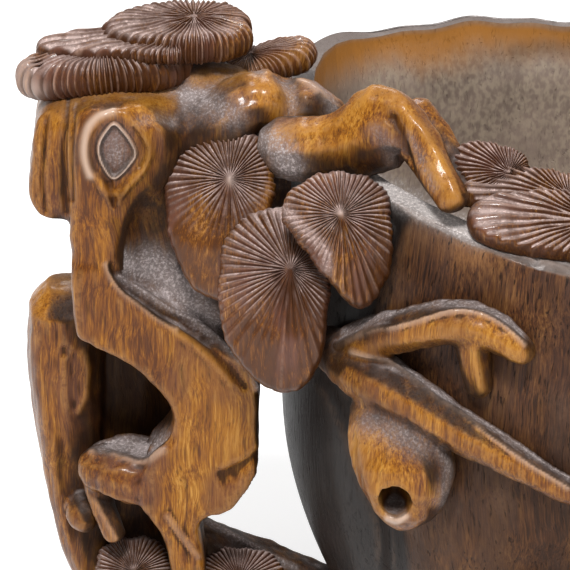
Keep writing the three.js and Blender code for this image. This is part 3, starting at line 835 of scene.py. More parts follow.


# Marks of the carver's tools, and strokes that also paint dust, dirt, painted shade and painted highlights


@dataclass(frozen=True)
class Stroke:
    """A ridge, groove or patch along a line on what the camera sees.

    Attributes:
        path: The line, in pixels of the picture.
        rise: Height of the ridge, or the groove's depth below 0.
        width: From the line to where the ridge ends.
        coat: What it paints, if anything.
        amount: How strongly it paints.
        closed: Whether the line runs back to its start.
        filled: Whether all that the line encloses rises.
        layer: Nearest and farthest y of the surface that it is on.
    """

    path: tuple[Pixel, ...]
    rise: float = 0.0
    width: float = 0.7
    coat: Coat | None = None
    amount: float = 0.0
    closed: bool = False
    filled: bool = False
    layer: tuple[float, float] = ANY_DEPTH

    def work(self, skin: Skin, camera: Camera) -> np.ndarray:
        """Paints the skin and finds how far each point rises.

        Args:
            skin: The surface.
            camera: The picture's camera.

        Returns:
            The rise of each point.
        """
        pixels, scale = camera.see(skin.points)
        line = self._curve()
        margin = 3.0 * self.width * scale.max()
        near = ((pixels > line.min(axis=0) - margin) & (pixels < line.max(axis=0) + margin)).all(axis=1)
        facing = -(skin.normals @ camera.ahead())
        y = skin.points[:, 1]
        near &= (facing > 0.0) & (y > self.layer[0]) & (y < self.layer[1])
        share = np.zeros(len(skin.points))
        if near.any():
            away = self._distance(pixels[near], line) / scale[near]
            if self.filled:
                share[near] = smoothstep(-away, -self.width, self.width)
            else:
                share[near] = np.exp(-((away / self.width) ** 2))
            share[near] *= smoothstep(facing[near], 0.0, 0.25)
        if self.coat is not None:
            kept = skin.coats[self.coat]
            np.maximum(kept, np.minimum(share * self.amount, 1.0), out=kept)
        return share * self.rise

    def _curve(self) -> np.ndarray:
        """The line with its corners rounded."""
        points = np.array(self.path, dtype=np.float64)
        if len(points) < 3:
            return points
        if self.closed:
            points = np.vstack([points[-1], points, points[:2]])
        else:
            points = np.vstack([2 * points[0] - points[1], points, 2 * points[-1] - points[-2]])
        t = np.linspace(0.0, 1.0, 6)[:-1, None]
        parts = []
        for a, b, c, d in zip(points[:-3], points[1:-2], points[2:-1], points[3:]):
            square, cube = 2 * a - 5 * b + 4 * c - d, 3 * b - a - 3 * c + d
            parts.append(0.5 * (2 * b + (c - a) * t + square * t**2 + cube * t**3))
        return np.vstack([*parts, points[-2]])

    def _distance(self, pixels: np.ndarray, line: np.ndarray) -> np.ndarray:
        """Distances from a line, below 0 inside a filled one."""
        best = np.full(len(pixels), np.inf)
        inside = np.zeros(len(pixels), dtype=bool)
        x, y = pixels[:, 0], pixels[:, 1]
        for start, end in zip(line[:-1], line[1:]):
            span = end - start
            along = np.clip(((pixels - start) @ span) / max(span @ span, 1e-9), 0.0, 1.0)
            best = np.minimum(best, np.linalg.norm(pixels - start - along[:, None] * span, axis=1))
            if abs(span[1]) > 1e-9:
                crosses = (start[1] > y) != (end[1] > y)
                inside ^= crosses & (x < start[0] + (y - start[1]) * span[0] / span[1])
        return np.where(inside, -best, best) if self.filled else best


@dataclass(frozen=True)
class Grab:
    """A soft pull of everything round a place.

    Attributes:
        centre: The place.
        reach: How far the pull reaches in x, y and z.
        shift: How far the middle moves.
    """

    centre: Place
    reach: Place
    shift: Place

    def pull(self, points: np.ndarray) -> np.ndarray:
        """The points after the pull."""
        away = (((points - np.array(self.centre)) / np.array(self.reach)) ** 2).sum(axis=1)
        return points + np.outer(np.clip(1.0 - away, 0.0, 1.0) ** 2, self.shift)


@dataclass(frozen=True)
class Melt:
    """A stretch of the skin that is smoothed.

    Attributes:
        path: A line, in pixels of the picture.
        width: From the line to where the smoothing ends.
        rounds: Rounds of smoothing.
        layer: Nearest and farthest y of the surface that it is on.
    """

    path: tuple[Pixel, ...]
    width: float
    rounds: int
    layer: tuple[float, float] = ANY_DEPTH

    def soften(self, skin: Skin, camera: Camera) -> None:
        """Smooths the skin along the line."""
        share = Stroke(self.path, 1.0, self.width, layer=self.layer).work(skin, camera)
        smooth = skin.blur(skin.points, self.rounds, share > 0.02)
        skin.write(skin.points + share[:, None] * (smooth - skin.points))


class Shelter:
    """How closely the cup's own surfaces surround each place on it.

    NEAR and WIDE each hold a blur's radius, how far in front of the surface it is read, and what
    counts as full shelter. DENSITY is the count of points to a square millimetre.
    """

    CELL = 1.25
    MARGIN = 16.0
    DENSITY = 4.0
    SEED = 11
    NEAR = (2.2, 2.6, 0.16)
    WIDE = (6.0, 7.5, 0.05)

    def __init__(self, nodes: list[bpy.types.Object]) -> None:
        """Spreads points over the solids and blurs how densely they lie.

        Args:
            nodes: The solids.
        """
        random = np.random.default_rng(self.SEED)
        spread = []
        for node in nodes:
            mesh = node.data
            mesh.calc_loop_triangles()
            corners = np.empty(len(mesh.loop_triangles) * 3, dtype=np.int32)
            mesh.loop_triangles.foreach_get("vertices", corners)
            places = np.empty(len(mesh.vertices) * 3)
            mesh.vertices.foreach_get("co", places)
            a, b, c = (places.reshape(-1, 3) / MM)[corners.reshape(-1, 3)].transpose(1, 0, 2)
            area = np.linalg.norm(np.cross(b - a, c - a), axis=1) / 2
            chosen = random.choice(len(area), int(area.sum() * self.DENSITY), p=area / area.sum())
            u, v = random.random((2, len(chosen), 1))
            turned = u + v > 1
            u, v = np.where(turned, 1 - u, u), np.where(turned, 1 - v, v)
            spread.append(a[chosen] + u * (b - a)[chosen] + v * (c - a)[chosen])
        points = np.vstack(spread)
        self.low = points.min(axis=0) - self.MARGIN
        counts = np.ceil((points.max(axis=0) + self.MARGIN - self.low) / self.CELL).astype(int)
        edges = [np.arange(count + 1) * self.CELL + low for count, low in zip(counts, self.low)]
        filled, _ = np.histogramdd(points, bins=edges)
        filled /= self.DENSITY * self.CELL**3
        self.near = self._blurred(filled, self.NEAR[0])
        self.wide = self._blurred(filled, self.WIDE[0])

    def _blurred(self, grid: np.ndarray, radius: float) -> np.ndarray:
        """A grid blurred by a bell of a radius."""
        changed = np.fft.rfftn(grid)
        for axis, size in enumerate(grid.shape):
            steps = np.fft.rfftfreq(size) if axis == 2 else np.fft.fftfreq(size)
            bell = np.exp(-2.0 * (math.pi * steps * radius / self.CELL) ** 2)
            changed *= bell.reshape([-1 if place == axis else 1 for place in range(3)])
        return np.fft.irfftn(changed, s=grid.shape)

    def _sample(self, grid: np.ndarray, points: np.ndarray) -> np.ndarray:
        """A grid's value at places between its cells."""
        place = (points - self.low) / self.CELL - 0.5
        base = np.clip(np.floor(place).astype(int), 0, np.array(grid.shape) - 2)
        part = np.clip(place - base, 0.0, 1.0)
        total = np.zeros(len(points))
        for corner in np.ndindex(2, 2, 2):
            weight = np.prod(np.where(corner, part, 1.0 - part), axis=1)
            total += weight * grid[tuple((base + corner).T)]
        return total

    def measure(self, skin: Skin) -> tuple[np.ndarray, np.ndarray]:
        """Measures the shelter of a skin's points.

        Args:
            skin: The surface.

        Returns:
            Close shelter, as in a crease, and deep shelter, as in a hole, from 0 to 1.
        """
        results = []
        for grid, (radius, ahead, full) in ((self.near, self.NEAR), (self.wide, self.WIDE)):
            found = self._sample(grid, skin.points + skin.normals * ahead)
            open_face = math.exp(-0.5 * (ahead / radius) ** 2) / (math.sqrt(2 * math.pi) * radius)
            results.append(np.clip((found - open_face) / full, 0.0, 1.0))
        return results[0], results[1]


# Pieces


@dataclass
class Piece:
    """A piece of the cup that stands for some of its solids.

    Attributes:
        name: The piece's name.
        nodes: The solids that it stands for.
        finish: The name of its material.
        slot: A slot's name; it is not used.
        melts: Stretches that are smoothed.
        grabs: Pulls that shape it.
        strokes: Marks carved and painted on it.
    """

    INSET = 0.01

    name: str
    nodes: tuple[str, ...]
    finish: str
    slot: str
    melts: tuple[Melt, ...] = ()
    grabs: tuple[Grab, ...] = ()
    strokes: tuple[Stroke, ...] = ()

    def build(self, shop: Workshop) -> None:
        """Builds the piece.

        Args:
            shop: The workshop.
        """
        raise NotImplementedError

    def carve(self, skin: Skin, camera: Camera) -> None:
        """Smooths the skin, pulls it to shape and carves the strokes.

        Args:
            skin: The surface.
            camera: The picture's camera.
        """
        for melt in self.melts:
            melt.soften(skin, camera)
        if self.grabs:
            points = skin.points
            for grab in self.grabs:
                points = grab.pull(points)
            skin.write(points)
        if self.strokes:
            rise = sum(stroke.work(skin, camera) for stroke in self.strokes)
            skin.write(skin.points + skin.normals * rise[:, None])

    def settle(self, obj: bpy.types.Object, skin: Skin, shop: Workshop, **zones: np.ndarray) -> None:
        """Keeps a piece in the solids' box, notes what its material reads, and puts it on the cup.

        Args:
            obj: The piece's object.
            skin: Its surface.
            shop: The workshop.
            zones: Numbers for each vertex that the material reads by name.
        """
        low, high = (np.array(corner) / MM for corner in shop.box)
        skin.write(np.clip(skin.points, low + self.INSET, high - self.INSET))
        zones["shelter"], zones["deep"] = shop.shelter.measure(skin)
        zones |= {coat.value: values for coat, values in skin.coats.items()}
        for name, values in zones.items():
            skin.keep(name, values)
        obj.name = self.name
        obj.data.name = self.name
        obj.data.materials.clear()
        obj.data.materials.append(bpy.data.materials[self.finish])
        obj.data.shade_smooth()
        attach(obj, "root")
        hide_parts(*self.nodes)
        LOG.info("%s: %d faces for %s", self.name, len(obj.data.polygons), ", ".join(self.nodes))


def merged_copy(frame: dict, node: str, swell: float) -> bpy.types.Object:
    """A copy of a solid with its corners merged.

    Args:
        frame: The loaded frame.
        node: The solid's name.
        swell: How far its surface moves out.

    Returns:
        The copy.
    """
    obj = bpy.data.objects.new(node + "_copy", frame["nodes"][node].data.copy())
    bpy.context.scene.collection.objects.link(obj)
    select_only(obj)
    bpy.ops.object.mode_set(mode="EDIT")
    bpy.ops.mesh.select_all(action="SELECT")
    bpy.ops.mesh.remove_doubles(threshold=1e-6)
    bpy.ops.object.mode_set(mode="OBJECT")
    if swell:
        skin = Skin(obj.data)
        skin.write(skin.points + skin.normals * swell)
    return obj


@dataclass
class Sculpted(Piece):
    """Horn that is modelled over its solids in one skin.

    Attributes:
        voxel: Size of the skin's faces.
        swell: How far the solids swell to close their gaps.
        smoothing: Rounds of smoothing.
        unused: Solids that only strokes stand for.
        tooling: Height of the uneven tool marks.
        refined: Areas of the picture, each x0, y0, x1, y1, whose faces are split.
    """

    voxel: float = 0.4
    swell: float = 0.2
    smoothing: int = 8
    unused: tuple[str, ...] = ()
    tooling: float = 0.14
    refined: tuple[tuple[float, float, float, float], ...] = ()

    def build(self, shop: Workshop) -> None:
        """Builds the piece.

        Args:
            shop: The workshop.
        """
        copies = [merged_copy(shop.frame, node, self.swell) for node in self.nodes if node not in self.unused]
        obj = copies[0]
        select_only(obj)
        for copy in copies[1:]:
            copy.select_set(True)
        if len(copies) > 1:
            bpy.ops.object.join()
        apply_modifier(obj, "REMESH", mode="VOXEL", voxel_size=self.voxel * MM, use_smooth_shade=True)
        apply_modifier(obj, "SMOOTH", factor=0.6, iterations=self.smoothing)
        for area in self.refined:
            self._refine(obj, shop.camera, area)
        skin = Skin(obj.data)
        marks = ripple(skin.points * (1.0, 1.0, 0.4), 4.6, 3)
        marks = marks + 0.5 * ripple(skin.points * (1.0, 1.0, 0.5), 2.0, 5)
        skin.write(skin.points + skin.normals * (marks * self.tooling)[:, None])
        self.carve(skin, shop.camera)
        self.settle(obj, skin, shop, crest=skin.crest(5))

    def _refine(self, obj: bpy.types.Object, camera: Camera, area: tuple[float, float, float, float]) -> None:
        """Splits the faces that the camera sees in an area of the picture."""
        mesh = obj.data
        centres = np.empty(len(mesh.polygons) * 3)
        mesh.polygons.foreach_get("center", centres)
        normals = np.empty(len(mesh.polygons) * 3)
        mesh.polygons.foreach_get("normal", normals)
        pixels, _ = camera.see(centres.reshape(-1, 3) / MM)
        chosen = (pixels > area[:2]).all(axis=1) & (pixels < area[2:]).all(axis=1)
        chosen &= (normals.reshape(-1, 3) @ camera.ahead()) < -0.1
        select_only(obj)
        bpy.ops.object.mode_set(mode="EDIT")
        bpy.ops.mesh.select_mode(type="FACE")
        bpy.ops.mesh.select_all(action="DESELECT")
        bpy.ops.object.mode_set(mode="OBJECT")
        mesh.polygons.foreach_set("select", chosen)
        bpy.ops.object.mode_set(mode="EDIT")
        bpy.ops.mesh.subdivide(number_cuts=1, smoothness=0.0)
        bpy.ops.object.mode_set(mode="OBJECT")


class Mouth:
    """The vessel's rim, as it is seen from the middle of the mouth.

    TOP is how far below the highest point the middle is measured, and HALF_SPOKE half the angle that
    counts as one direction.
    """

    TOP = 12.0
    HALF_SPOKE = 0.05
    ORDER = np.linspace(-math.pi, math.pi, 97)

    def __init__(self, skin: Skin) -> None:
        """Measures the rim.

        Args:
            skin: The vessel's surface.
        """
        points = skin.points
        away = points - points[points[:, 2] > points[:, 2].max() - self.TOP].mean(axis=0)
        self.angle = np.arctan2(away[:, 1], away[:, 0])
        self.reach = np.hypot(away[:, 0], away[:, 1])
        self.way = away[:, :2] / self.reach[:, None]
        self.inward = -(skin.normals[:, :2] * self.way).sum(axis=1)
        self.spokes = [
            np.abs(np.angle(np.exp(1j * (self.angle - at)))) < self.HALF_SPOKE for at in self.ORDER
        ]
        self.height = self.most(points[:, 2], np.ones(len(points), dtype=bool))

    def most(self, values: np.ndarray, area: np.ndarray) -> np.ndarray:
        """The greatest value in each point's direction.

        Args:
            values: A number for each point.
            area: The points that count.

        Returns:
            A number for each point.
        """
        found = [values[spoke & area].max() for spoke in self.spokes]
        return np.interp(self.angle, self.ORDER, found)


@dataclass
class Vessel(Piece):
    """The bowl, its wall with the trunks that stand proud of it, and its lip.

    Attributes:
        levels: Rounds of subdivision.
        reach: The most that a trunk stands proud.
        bevel: Width of the bevel on its sharp edges.
        thinned: Share of the back lip's thickness that is taken off inside.
        thickest: Thickness from which on no more is taken off.
    """

    levels: int = 3
    reach: float = 4.5
    bevel: float = 0.7
    thinned: float = 0.62
    thickest: float = 3.6

    def build(self, shop: Workshop) -> None:
        """Builds the vessel.

        Args:
            shop: The workshop.
        """
        obj = merged_copy(shop.frame, self.nodes[0], 0.0)
        sharp = math.radians(50)
        bpy.ops.object.mode_set(mode="EDIT")
        bpy.ops.mesh.select_all(action="SELECT")
        bpy.ops.mesh.tris_convert_to_quads(face_threshold=sharp, shape_threshold=math.radians(60))
        bpy.ops.object.mode_set(mode="OBJECT")
        apply_modifier(
            obj, "BEVEL", width=self.bevel * MM, segments=2, limit_method="ANGLE", angle_limit=sharp
        )
        apply_modifier(obj, "SUBSURF", levels=self.levels, render_levels=self.levels)
        skin = Skin(obj.data)
        bark = self._raise_trunks(skin, shop.frame)
        self._thin_rim(skin)
        inside, below, lip = self._zones(skin)
        outer = np.clip(1.0 - inside, 0.0, 1.0) * np.clip(bark, 0.0, 1.0)
        wave = ripple(skin.points * (1.0, 1.0, 0.25), 7.0, 8) * 0.22 * outer
        rim = smoothstep(below, 9.0, 0.0) * smoothstep(skin.points[:, 1], 0.0, 12.0)
        points = skin.points + skin.normals * wave[:, None]
        x = points[:, 0]
        points[:, 2] -= rim * (0.35 + 0.5 * np.sin(x * 0.24 + 1.2) + 0.25 * np.sin(x * 0.6))
        skin.write(points)
        self.carve(skin, shop.camera)
        crest = skin.crest(3) * (1.0 - 0.85 * inside)
        self.settle(obj, skin, shop, crest=crest, inside=inside, below_rim=below, lip=lip, bark=outer)

    def _raise_trunks(self, skin: Skin, frame: dict) -> np.ndarray:
        """Moves the wall out to the trunks' faces.

        Args:
            skin: The vessel's surface.
            frame: The loaded frame.

        Returns:
            How far each point belongs to a trunk, from 0 to 1.
        """
        height = np.zeros(len(skin.points))
        for node in self.nodes[1:]:
            trunk = merged_copy(frame, node, 0.0)
            tree = BVHTree.FromObject(trunk, bpy.context.evaluated_depsgraph_get())
            low, high = (np.array(corner) / MM - self.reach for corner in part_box(node))
            high = high + 2 * self.reach
            near = np.nonzero(((skin.points > low) & (skin.points < high)).all(axis=1))[0]
            for index in near:
                way = Vector(skin.normals[index])
                start = Vector(skin.points[index]) * MM + way * self.reach * MM
                hit, _, _, distance = tree.ray_cast(start, -way, self.reach * MM)
                if hit is not None:
                    height[index] = max(height[index], self.reach - distance / MM)
            bpy.data.objects.remove(trunk)
        height = np.where(skin.normals[:, 2] > 0.6, 0.0, height)
        height = skin.blur(height, 3)
        skin.write(skin.points + skin.normals * height[:, None])
        return smoothstep(height, 0.2, 1.2)

    def _thin_rim(self, skin: Skin) -> None:
        """Moves the inside of the back wall out towards the rim, so that a thin lip stands."""
        mouth = Mouth(skin)
        x, y, z = skin.points.T
        thick = np.clip(mouth.most(mouth.reach, z > mouth.height - 2.0) - mouth.reach, 0.0, self.thickest)
        share = np.maximum(smoothstep(mouth.inward, -0.5, 0.0), smoothstep(skin.normals[:, 2], 0.3, 0.7))
        share = share * smoothstep(z, mouth.height - 10.0, mouth.height - 0.5)
        share = share * smoothstep(y, -4.0, 8.0) * smoothstep(x, -38.0, -24.0)
        points = skin.points.copy()
        points[:, :2] += mouth.way * (self.thinned * thick * share)[:, None]
        skin.write(points)

    def _zones(self, skin: Skin) -> tuple[np.ndarray, np.ndarray, np.ndarray]:
        """Tells the vessel's zones apart.

        Args:
            skin: The vessel's surface.

        Returns:
            How far each point is inside, how far it is below the rim, and how far it is on the lip.
        """
        mouth = Mouth(skin)
        up = skin.normals[:, 2]
        below = mouth.height - skin.points[:, 2]
        inner_floor = (up > 0.5) & (below > 3.0)
        inside = np.where(inner_floor, 1.0, smoothstep(mouth.inward, -0.1, 0.25))
        lip = smoothstep(up, 0.3, 0.6) * smoothstep(below, 1.3, 0.7)
        return inside, below, lip


@dataclass
class NeedleCluster(Piece):
    """A cluster of pine needles, carved as a fan round a hub.

    It is made from a ball: the share up to FACE_END becomes the face, that up to EDGE_END the rounded
    edge, and the rest the back. SQUARENESS is the power of its outline's curve, and SHARPNESS that of
    the corners where the outline is cut.

    Attributes:
        azimuth: Direction that it faces; 0 is +X and -90 the front.
        elevation: How far it faces up.
        spin: Turn round its hub.
        reach: From the hub up, right, down and left.
        droop: How far the edge falls back, per millimetre squared of reach.
        thick: Thickness of its edge.
        needles: Count of needles.
        relief: Depth of the grooves between them.
        fade: How far the needles fade below the hub.
        scallop: Depth of the notches in its edge.
        edge: Reach of the rounding of its edge.
        bite: A straight cut in its outline: its direction in degrees and its distance from the hub.
        hub: Where the needles meet; without it, it is found from the solid.
    """

    FACE_END = 0.62
    EDGE_END = 0.86
    SQUARENESS = 2.3
    SHARPNESS = 9.0

    azimuth: float = -90.0
    elevation: float = 35.0
    spin: float = 0.0
    reach: tuple[float, float, float, float] = (8.0, 8.0, 12.0, 8.0)
    droop: float = 0.02
    thick: float = 3.0
    needles: int = 50
    relief: float = 0.6
    fade: float = 0.5
    scallop: float = 0.07
    edge: float = 0.9
    bite: tuple[float, float] = (0.0, 99.0)
    hub: Place | None = None

    def build(self, shop: Workshop) -> None:
        """Builds the cluster.

        Args:
            shop: The workshop.
        """
        right, up, normal = self._directions()
        bpy.ops.mesh.primitive_uv_sphere_add(segments=self.needles * 7, ring_count=48, radius=MM)
        obj = bpy.context.object
        skin = Skin(obj.data)
        hub = self._hub(Skin(shop.frame["nodes"][self.nodes[0]].data).points, right, up, normal)
        flat, side, height, crest = self._fan(skin.points, self._seed())
        skin.write(hub + np.outer(flat, right) + np.outer(side, up) + np.outer(height, normal))
        self.carve(skin, shop.camera)
        self.settle(obj, skin, shop, crest=crest)

    def _seed(self) -> float:
        """A number of the cluster's own, from its name."""
        return sum(ord(letter) * (place + 1) for place, letter in enumerate(self.name)) % 97

    def _directions(self) -> tuple[np.ndarray, np.ndarray, np.ndarray]:
        """The cluster's right, up and facing directions."""
        a, e = math.radians(self.azimuth), math.radians(self.elevation)
        normal = Vector((math.cos(e) * math.cos(a), math.cos(e) * math.sin(a), math.sin(e)))
        right = Matrix.Rotation(math.radians(self.spin), 3, normal) @ Vector((-math.sin(a), math.cos(a), 0.0))
        return np.array(right), np.array(normal.cross(right)), np.array(normal)

    def _hub(self, points: np.ndarray, right: np.ndarray, up: np.ndarray, normal: np.ndarray) -> np.ndarray:
        """Where the needles meet, from the reach of the cluster's solid."""
        if self.hub is not None:
            return np.array(self.hub)
        top, east, bottom, west = self.reach
        along, upright, out = points @ right, points @ up, points @ normal
        x = (along.max() - east + along.min() + west) / 2.0
        y = (upright.max() - top + upright.min() + bottom) / 2.0
        near = np.hypot(along - x, upright - y) < 2.5
        height = out[near].max() if near.any() else out.max()
        return right * x + up * y + normal * height

    def _outline(self, angle: np.ndarray) -> np.ndarray:
        """How far the plain edge is from the hub in each direction."""
        c, s = np.cos(angle), np.sin(angle)
        top, east, bottom, west = self.reach
        sides = np.abs(c / np.where(c > 0, east, west)) ** self.SQUARENESS
        sides = sides + np.abs(s / np.where(s > 0, top, bottom)) ** self.SQUARENESS
        reach = sides ** (-1.0 / self.SQUARENESS)
        bite, distance = self.bite
        cut = distance / np.maximum(np.cos(angle - math.radians(bite)), 0.01)
        return (reach**-self.SHARPNESS + cut**-self.SHARPNESS) ** (-1.0 / self.SHARPNESS)

    def _fan(self, sphere: np.ndarray, seed: float) -> tuple[np.ndarray, np.ndarray, np.ndarray, np.ndarray]:
        """Turns a ball of one millimetre into the carved fan.

        Args:
            sphere: The ball's vertices.
            seed: The cluster's own number.

        Returns:
            Places to the right of the hub, above it and in front of it, and how far each stands out.
        """
        angle = np.arctan2(sphere[:, 1], sphere[:, 0])
        polar = np.arccos(np.clip(sphere[:, 2] / np.linalg.norm(sphere, axis=1), -1.0, 1.0)) / math.pi
        share = np.minimum(polar / self.FACE_END, 1.0)
        turn = np.clip((polar - self.FACE_END) / (self.EDGE_END - self.FACE_END), 0.0, 1.0) * math.pi
        under = np.clip((polar - self.EDGE_END) / (1.0 - self.EDGE_END), 0.0, 1.0)
        c, s = np.cos(angle), np.sin(angle)
        lean = 1.1 * np.sin(3 * angle + seed) + 0.8 * np.sin(7 * angle + 2.1 * seed)
        lean = lean + share * (0.5 * np.sin(5 * angle + 0.7 * seed) + 0.25 * np.sin(13 * angle))
        phase = angle * self.needles + lean
        number = np.round(phase / (2 * math.pi))
        chance = scatter(number, seed)
        late = np.where(number % 2 == 0, 1.0, smoothstep(share, 0.22, 0.5))
        crest = 2.0 * np.abs(np.cos(phase / 2.0)) ** 1.7 * (0.65 + 0.35 * chance) * late - 1.0
        ragged = 0.16 * np.sin(5 * angle + 1.7 * seed) + 0.12 * np.sin(11 * angle + seed)
        ragged = ragged + 0.2 * (chance - 0.5)
        face = self._outline(angle) + ragged + crest * self.scallop - self.edge
        radius = np.where(under > 0, face * (1.0 - under), face * share + self.edge * np.sin(turn))
        faded = 1.0 - self.fade * smoothstep(-s + 0.35 * share, 0.15, 0.9) * smoothstep(share, 0.15, 0.6)
        grooves = smoothstep(share, 0.03, 0.22) * (1.0 - 0.15 * share) * faded
        height = -self.droop * radius**2 - self.thick * 0.5 * (1.0 - np.cos(turn))
        height = height + self.relief * 0.5 * crest * grooves * (np.cos(turn) + 1.0) / 2.0
        uneven = 0.12 * np.sin(radius * 0.9 + 2 * np.sin(2 * angle + seed))
        height = height + uneven * smoothstep(share, 0.2, 0.6)
        height = height + 0.3 * np.exp(-((radius / 0.5) ** 2)) * (under == 0)
        ridge = crest * np.where(turn > 0, np.minimum(1.0, self.scallop * 4.0 + 0.25), grooves)
        return radius * c, radius * s, height, np.clip(ridge, -1.0, 1.0)


@dataclass
class Workshop:
    """What the pieces are built from.

    Attributes:
        frame: The loaded frame.
        box: The solids' box, in metres.
        camera: The picture's camera.
        shelter: How closely the cup surrounds each place.
    """

    frame: dict
    box: list[list[float]]
    camera: Camera
    shelter: Shelter


def clusters() -> list[NeedleCluster]:
    """The needle clusters, with the facing and reach of each."""
    stack = dict(fade=0.0, scallop=0.28)
    rim = dict(fade=0.0)
    wall = dict(droop=0.022, thick=2.6)
    places = {
        "top_cluster_low": dict(
            hub=(-69.5, -0.4, 108.8), azimuth=150, elevation=84, spin=120, reach=(3.6, 13, 6.6, 13.4),
            droop=0.006, thick=5.8, edge=2.4,
            strokes=(
                # Painted highlights, with some rubbing, on the ribbed front of the cluster.
                Stroke(((20, 60), (22, 76), (34, 92)), 0.0, 1.8, RUBBED_AND_HIGHLIT, 0.45),
                Stroke(((37, 60), (38, 64)), -0.7, 0.8, SHADE_AND_DIRT, 1.0),
            ), **stack),
        "top_cluster_middle": dict(
            hub=(-59.0, -0.4, 110.9), elevation=90, spin=-10, reach=(3.4, 3, 6.4, 21), droop=0.006,
            thick=2.4, edge=1.1, **stack),
        "top_cluster_high": dict(
            hub=(-55.9, 2.6, 112.5), elevation=88, reach=(7.2, 8.6, 7.4, 13.9), droop=0.007, thick=4.8,
            edge=1.7, **stack),
        "top_cluster_right": dict(
            hub=(-47.5, 5.6, 105.0), azimuth=180, elevation=70, spin=90, reach=(4, 9.5, 4.6, 9.4),
            droop=0.01, thick=4, edge=1.6,
            strokes=(Stroke(((228, 72), (255, 66), (285, 58), (300, 50)), 0.0, 1.4, AMBER, 1.0),), **stack),
        "front_cluster_left": dict(
            hub=(-50.5, -15.4, 94.2), azimuth=-100, elevation=38, reach=(8, 6.5, 17, 10), droop=0.022,
            fade=0.85,
            strokes=(
                Stroke(((262, 140), (273, 158), (274, 172), (266, 200), (258, 228)), 0.0, 0.9, AMBER, 1.0),
                Stroke(((190, 225), (205, 260), (215, 285)), 0.0, 3.0, AMBER, 0.3),
                # A painted highlight on the hub.
                Stroke(((232, 178), (232, 180)), 0.0, 0.8, RUBBED_AND_HIGHLIT, 0.9),
            )),
        "front_cluster_low": dict(
            hub=(-41.5, -25.0, 84.0), azimuth=-95, elevation=30, reach=(9.6, 6, 18, 11), droop=0.018,
            fade=0.35,
            strokes=(
                Stroke(((276, 208), (294, 222), (308, 236), (320, 251), (326, 268)), 0.0, 0.9, DUSTY, 0.8),
            )),
        "front_cluster_right": dict(
            hub=(-34.1, -26.6, 93.8), azimuth=-80, elevation=35, reach=(6.6, 8.0, 14.4, 8.4), droop=0.022,
            fade=0.2, bite=(216, 7.2),
            strokes=(
                Stroke(((281, 207), (298, 222), (312, 236), (325, 251), (328, 268)), 0.0, 0.8, DUSTY, 0.6),
                # A painted highlight on the hub.
                Stroke(((340, 210), (340, 211)), 0.0, 0.7, RUBBED_AND_HIGHLIT, 0.7),
            )),
        "handle_cluster_low_left": dict(
            hub=(-66.0, -9.4, 23.0), azimuth=-95, elevation=40, reach=(6, 6, 8, 6.5)),
        "handle_cluster_low_right": dict(
            hub=(-49.5, -8.4, 21.0), azimuth=-85, elevation=42, reach=(5.5, 7.5, 7, 7.5)),
        "handle_cluster_back_left": dict(azimuth=98, elevation=34, reach=(8, 9, 12, 8)),
        "handle_cluster_back_right": dict(
            hub=(-39.0, 26.0, 91.4), azimuth=80, elevation=32, reach=(3.6, 8.5, 12, 4.0)),
        "handle_cluster_back_low": dict(azimuth=92, elevation=24, reach=(8, 8, 12, 8)),
        "rim_cluster_main": dict(
            azimuth=-74, elevation=60, spin=-17, reach=(5.4, 13, 6.4, 18), droop=0.006, **rim),
        "rim_cluster_middle": dict(
            azimuth=-78, elevation=62, spin=-22, reach=(5, 7, 5, 15.4), droop=0.008, **rim),
        "rim_cluster_left": dict(
            azimuth=-84, elevation=54, spin=-34, reach=(4.4, 2.4, 4.6, 9), droop=0.012, **rim),
        "rim_cluster_back": dict(azimuth=85, elevation=55, reach=(6, 10, 9, 10), droop=0.012, fade=0.3),
        "wall_cluster_low": dict(azimuth=-92, elevation=12, reach=(5.5, 6, 6, 6), **wall),
        "wall_cluster_upper": dict(azimuth=-80, elevation=24, reach=(8, 9, 11, 9), **wall),
        "wall_cluster_right": dict(azimuth=-66, elevation=20, reach=(8, 8, 11, 8), **wall),
        "wall_cluster_middle": dict(azimuth=-76, elevation=14, reach=(7, 8, 9, 8), **wall),
        "back_cluster_upper": dict(azimuth=85, elevation=24, reach=(8, 9, 11, 9), **wall),
        "back_cluster_left": dict(azimuth=100, elevation=22, reach=(8, 9, 10, 9), **wall),
        "back_cluster_low": dict(azimuth=84, elevation=14, reach=(7, 8, 9, 8), **wall),
    }
    return [
        NeedleCluster(name + "_needles", (name,), "pine_needles", "needle_horn", **sizes)
        for name, sizes in places.items()
    ]


# Depths, as the nearest and farthest y, of surfaces that several strokes are on
TRUNK_FACE = (-25, -6)
KNOT_FACE = (-25, -5)
SIDE_FACE = (-25, 0)
CROWN_FACE = (-25, 2)
SLAB_FACE = (-25, 5)
REAR_FACE = (-12, 8)

# Outlines of the cut knot, in pixels
KNOT_RING = (
    (116, 113), (104, 117), (93, 127), (86, 140), (85, 155), (89, 170), (99, 180), (110, 192), (120, 192),
    (130, 183), (143, 168), (149, 150), (143, 134), (128, 118),
)
KNOT_LOZENGE = (
    (114, 124), (106, 132), (100, 143), (100, 155), (105, 167), (113, 177), (121, 173), (129, 164),
    (135, 154), (131, 143), (123, 132),
)

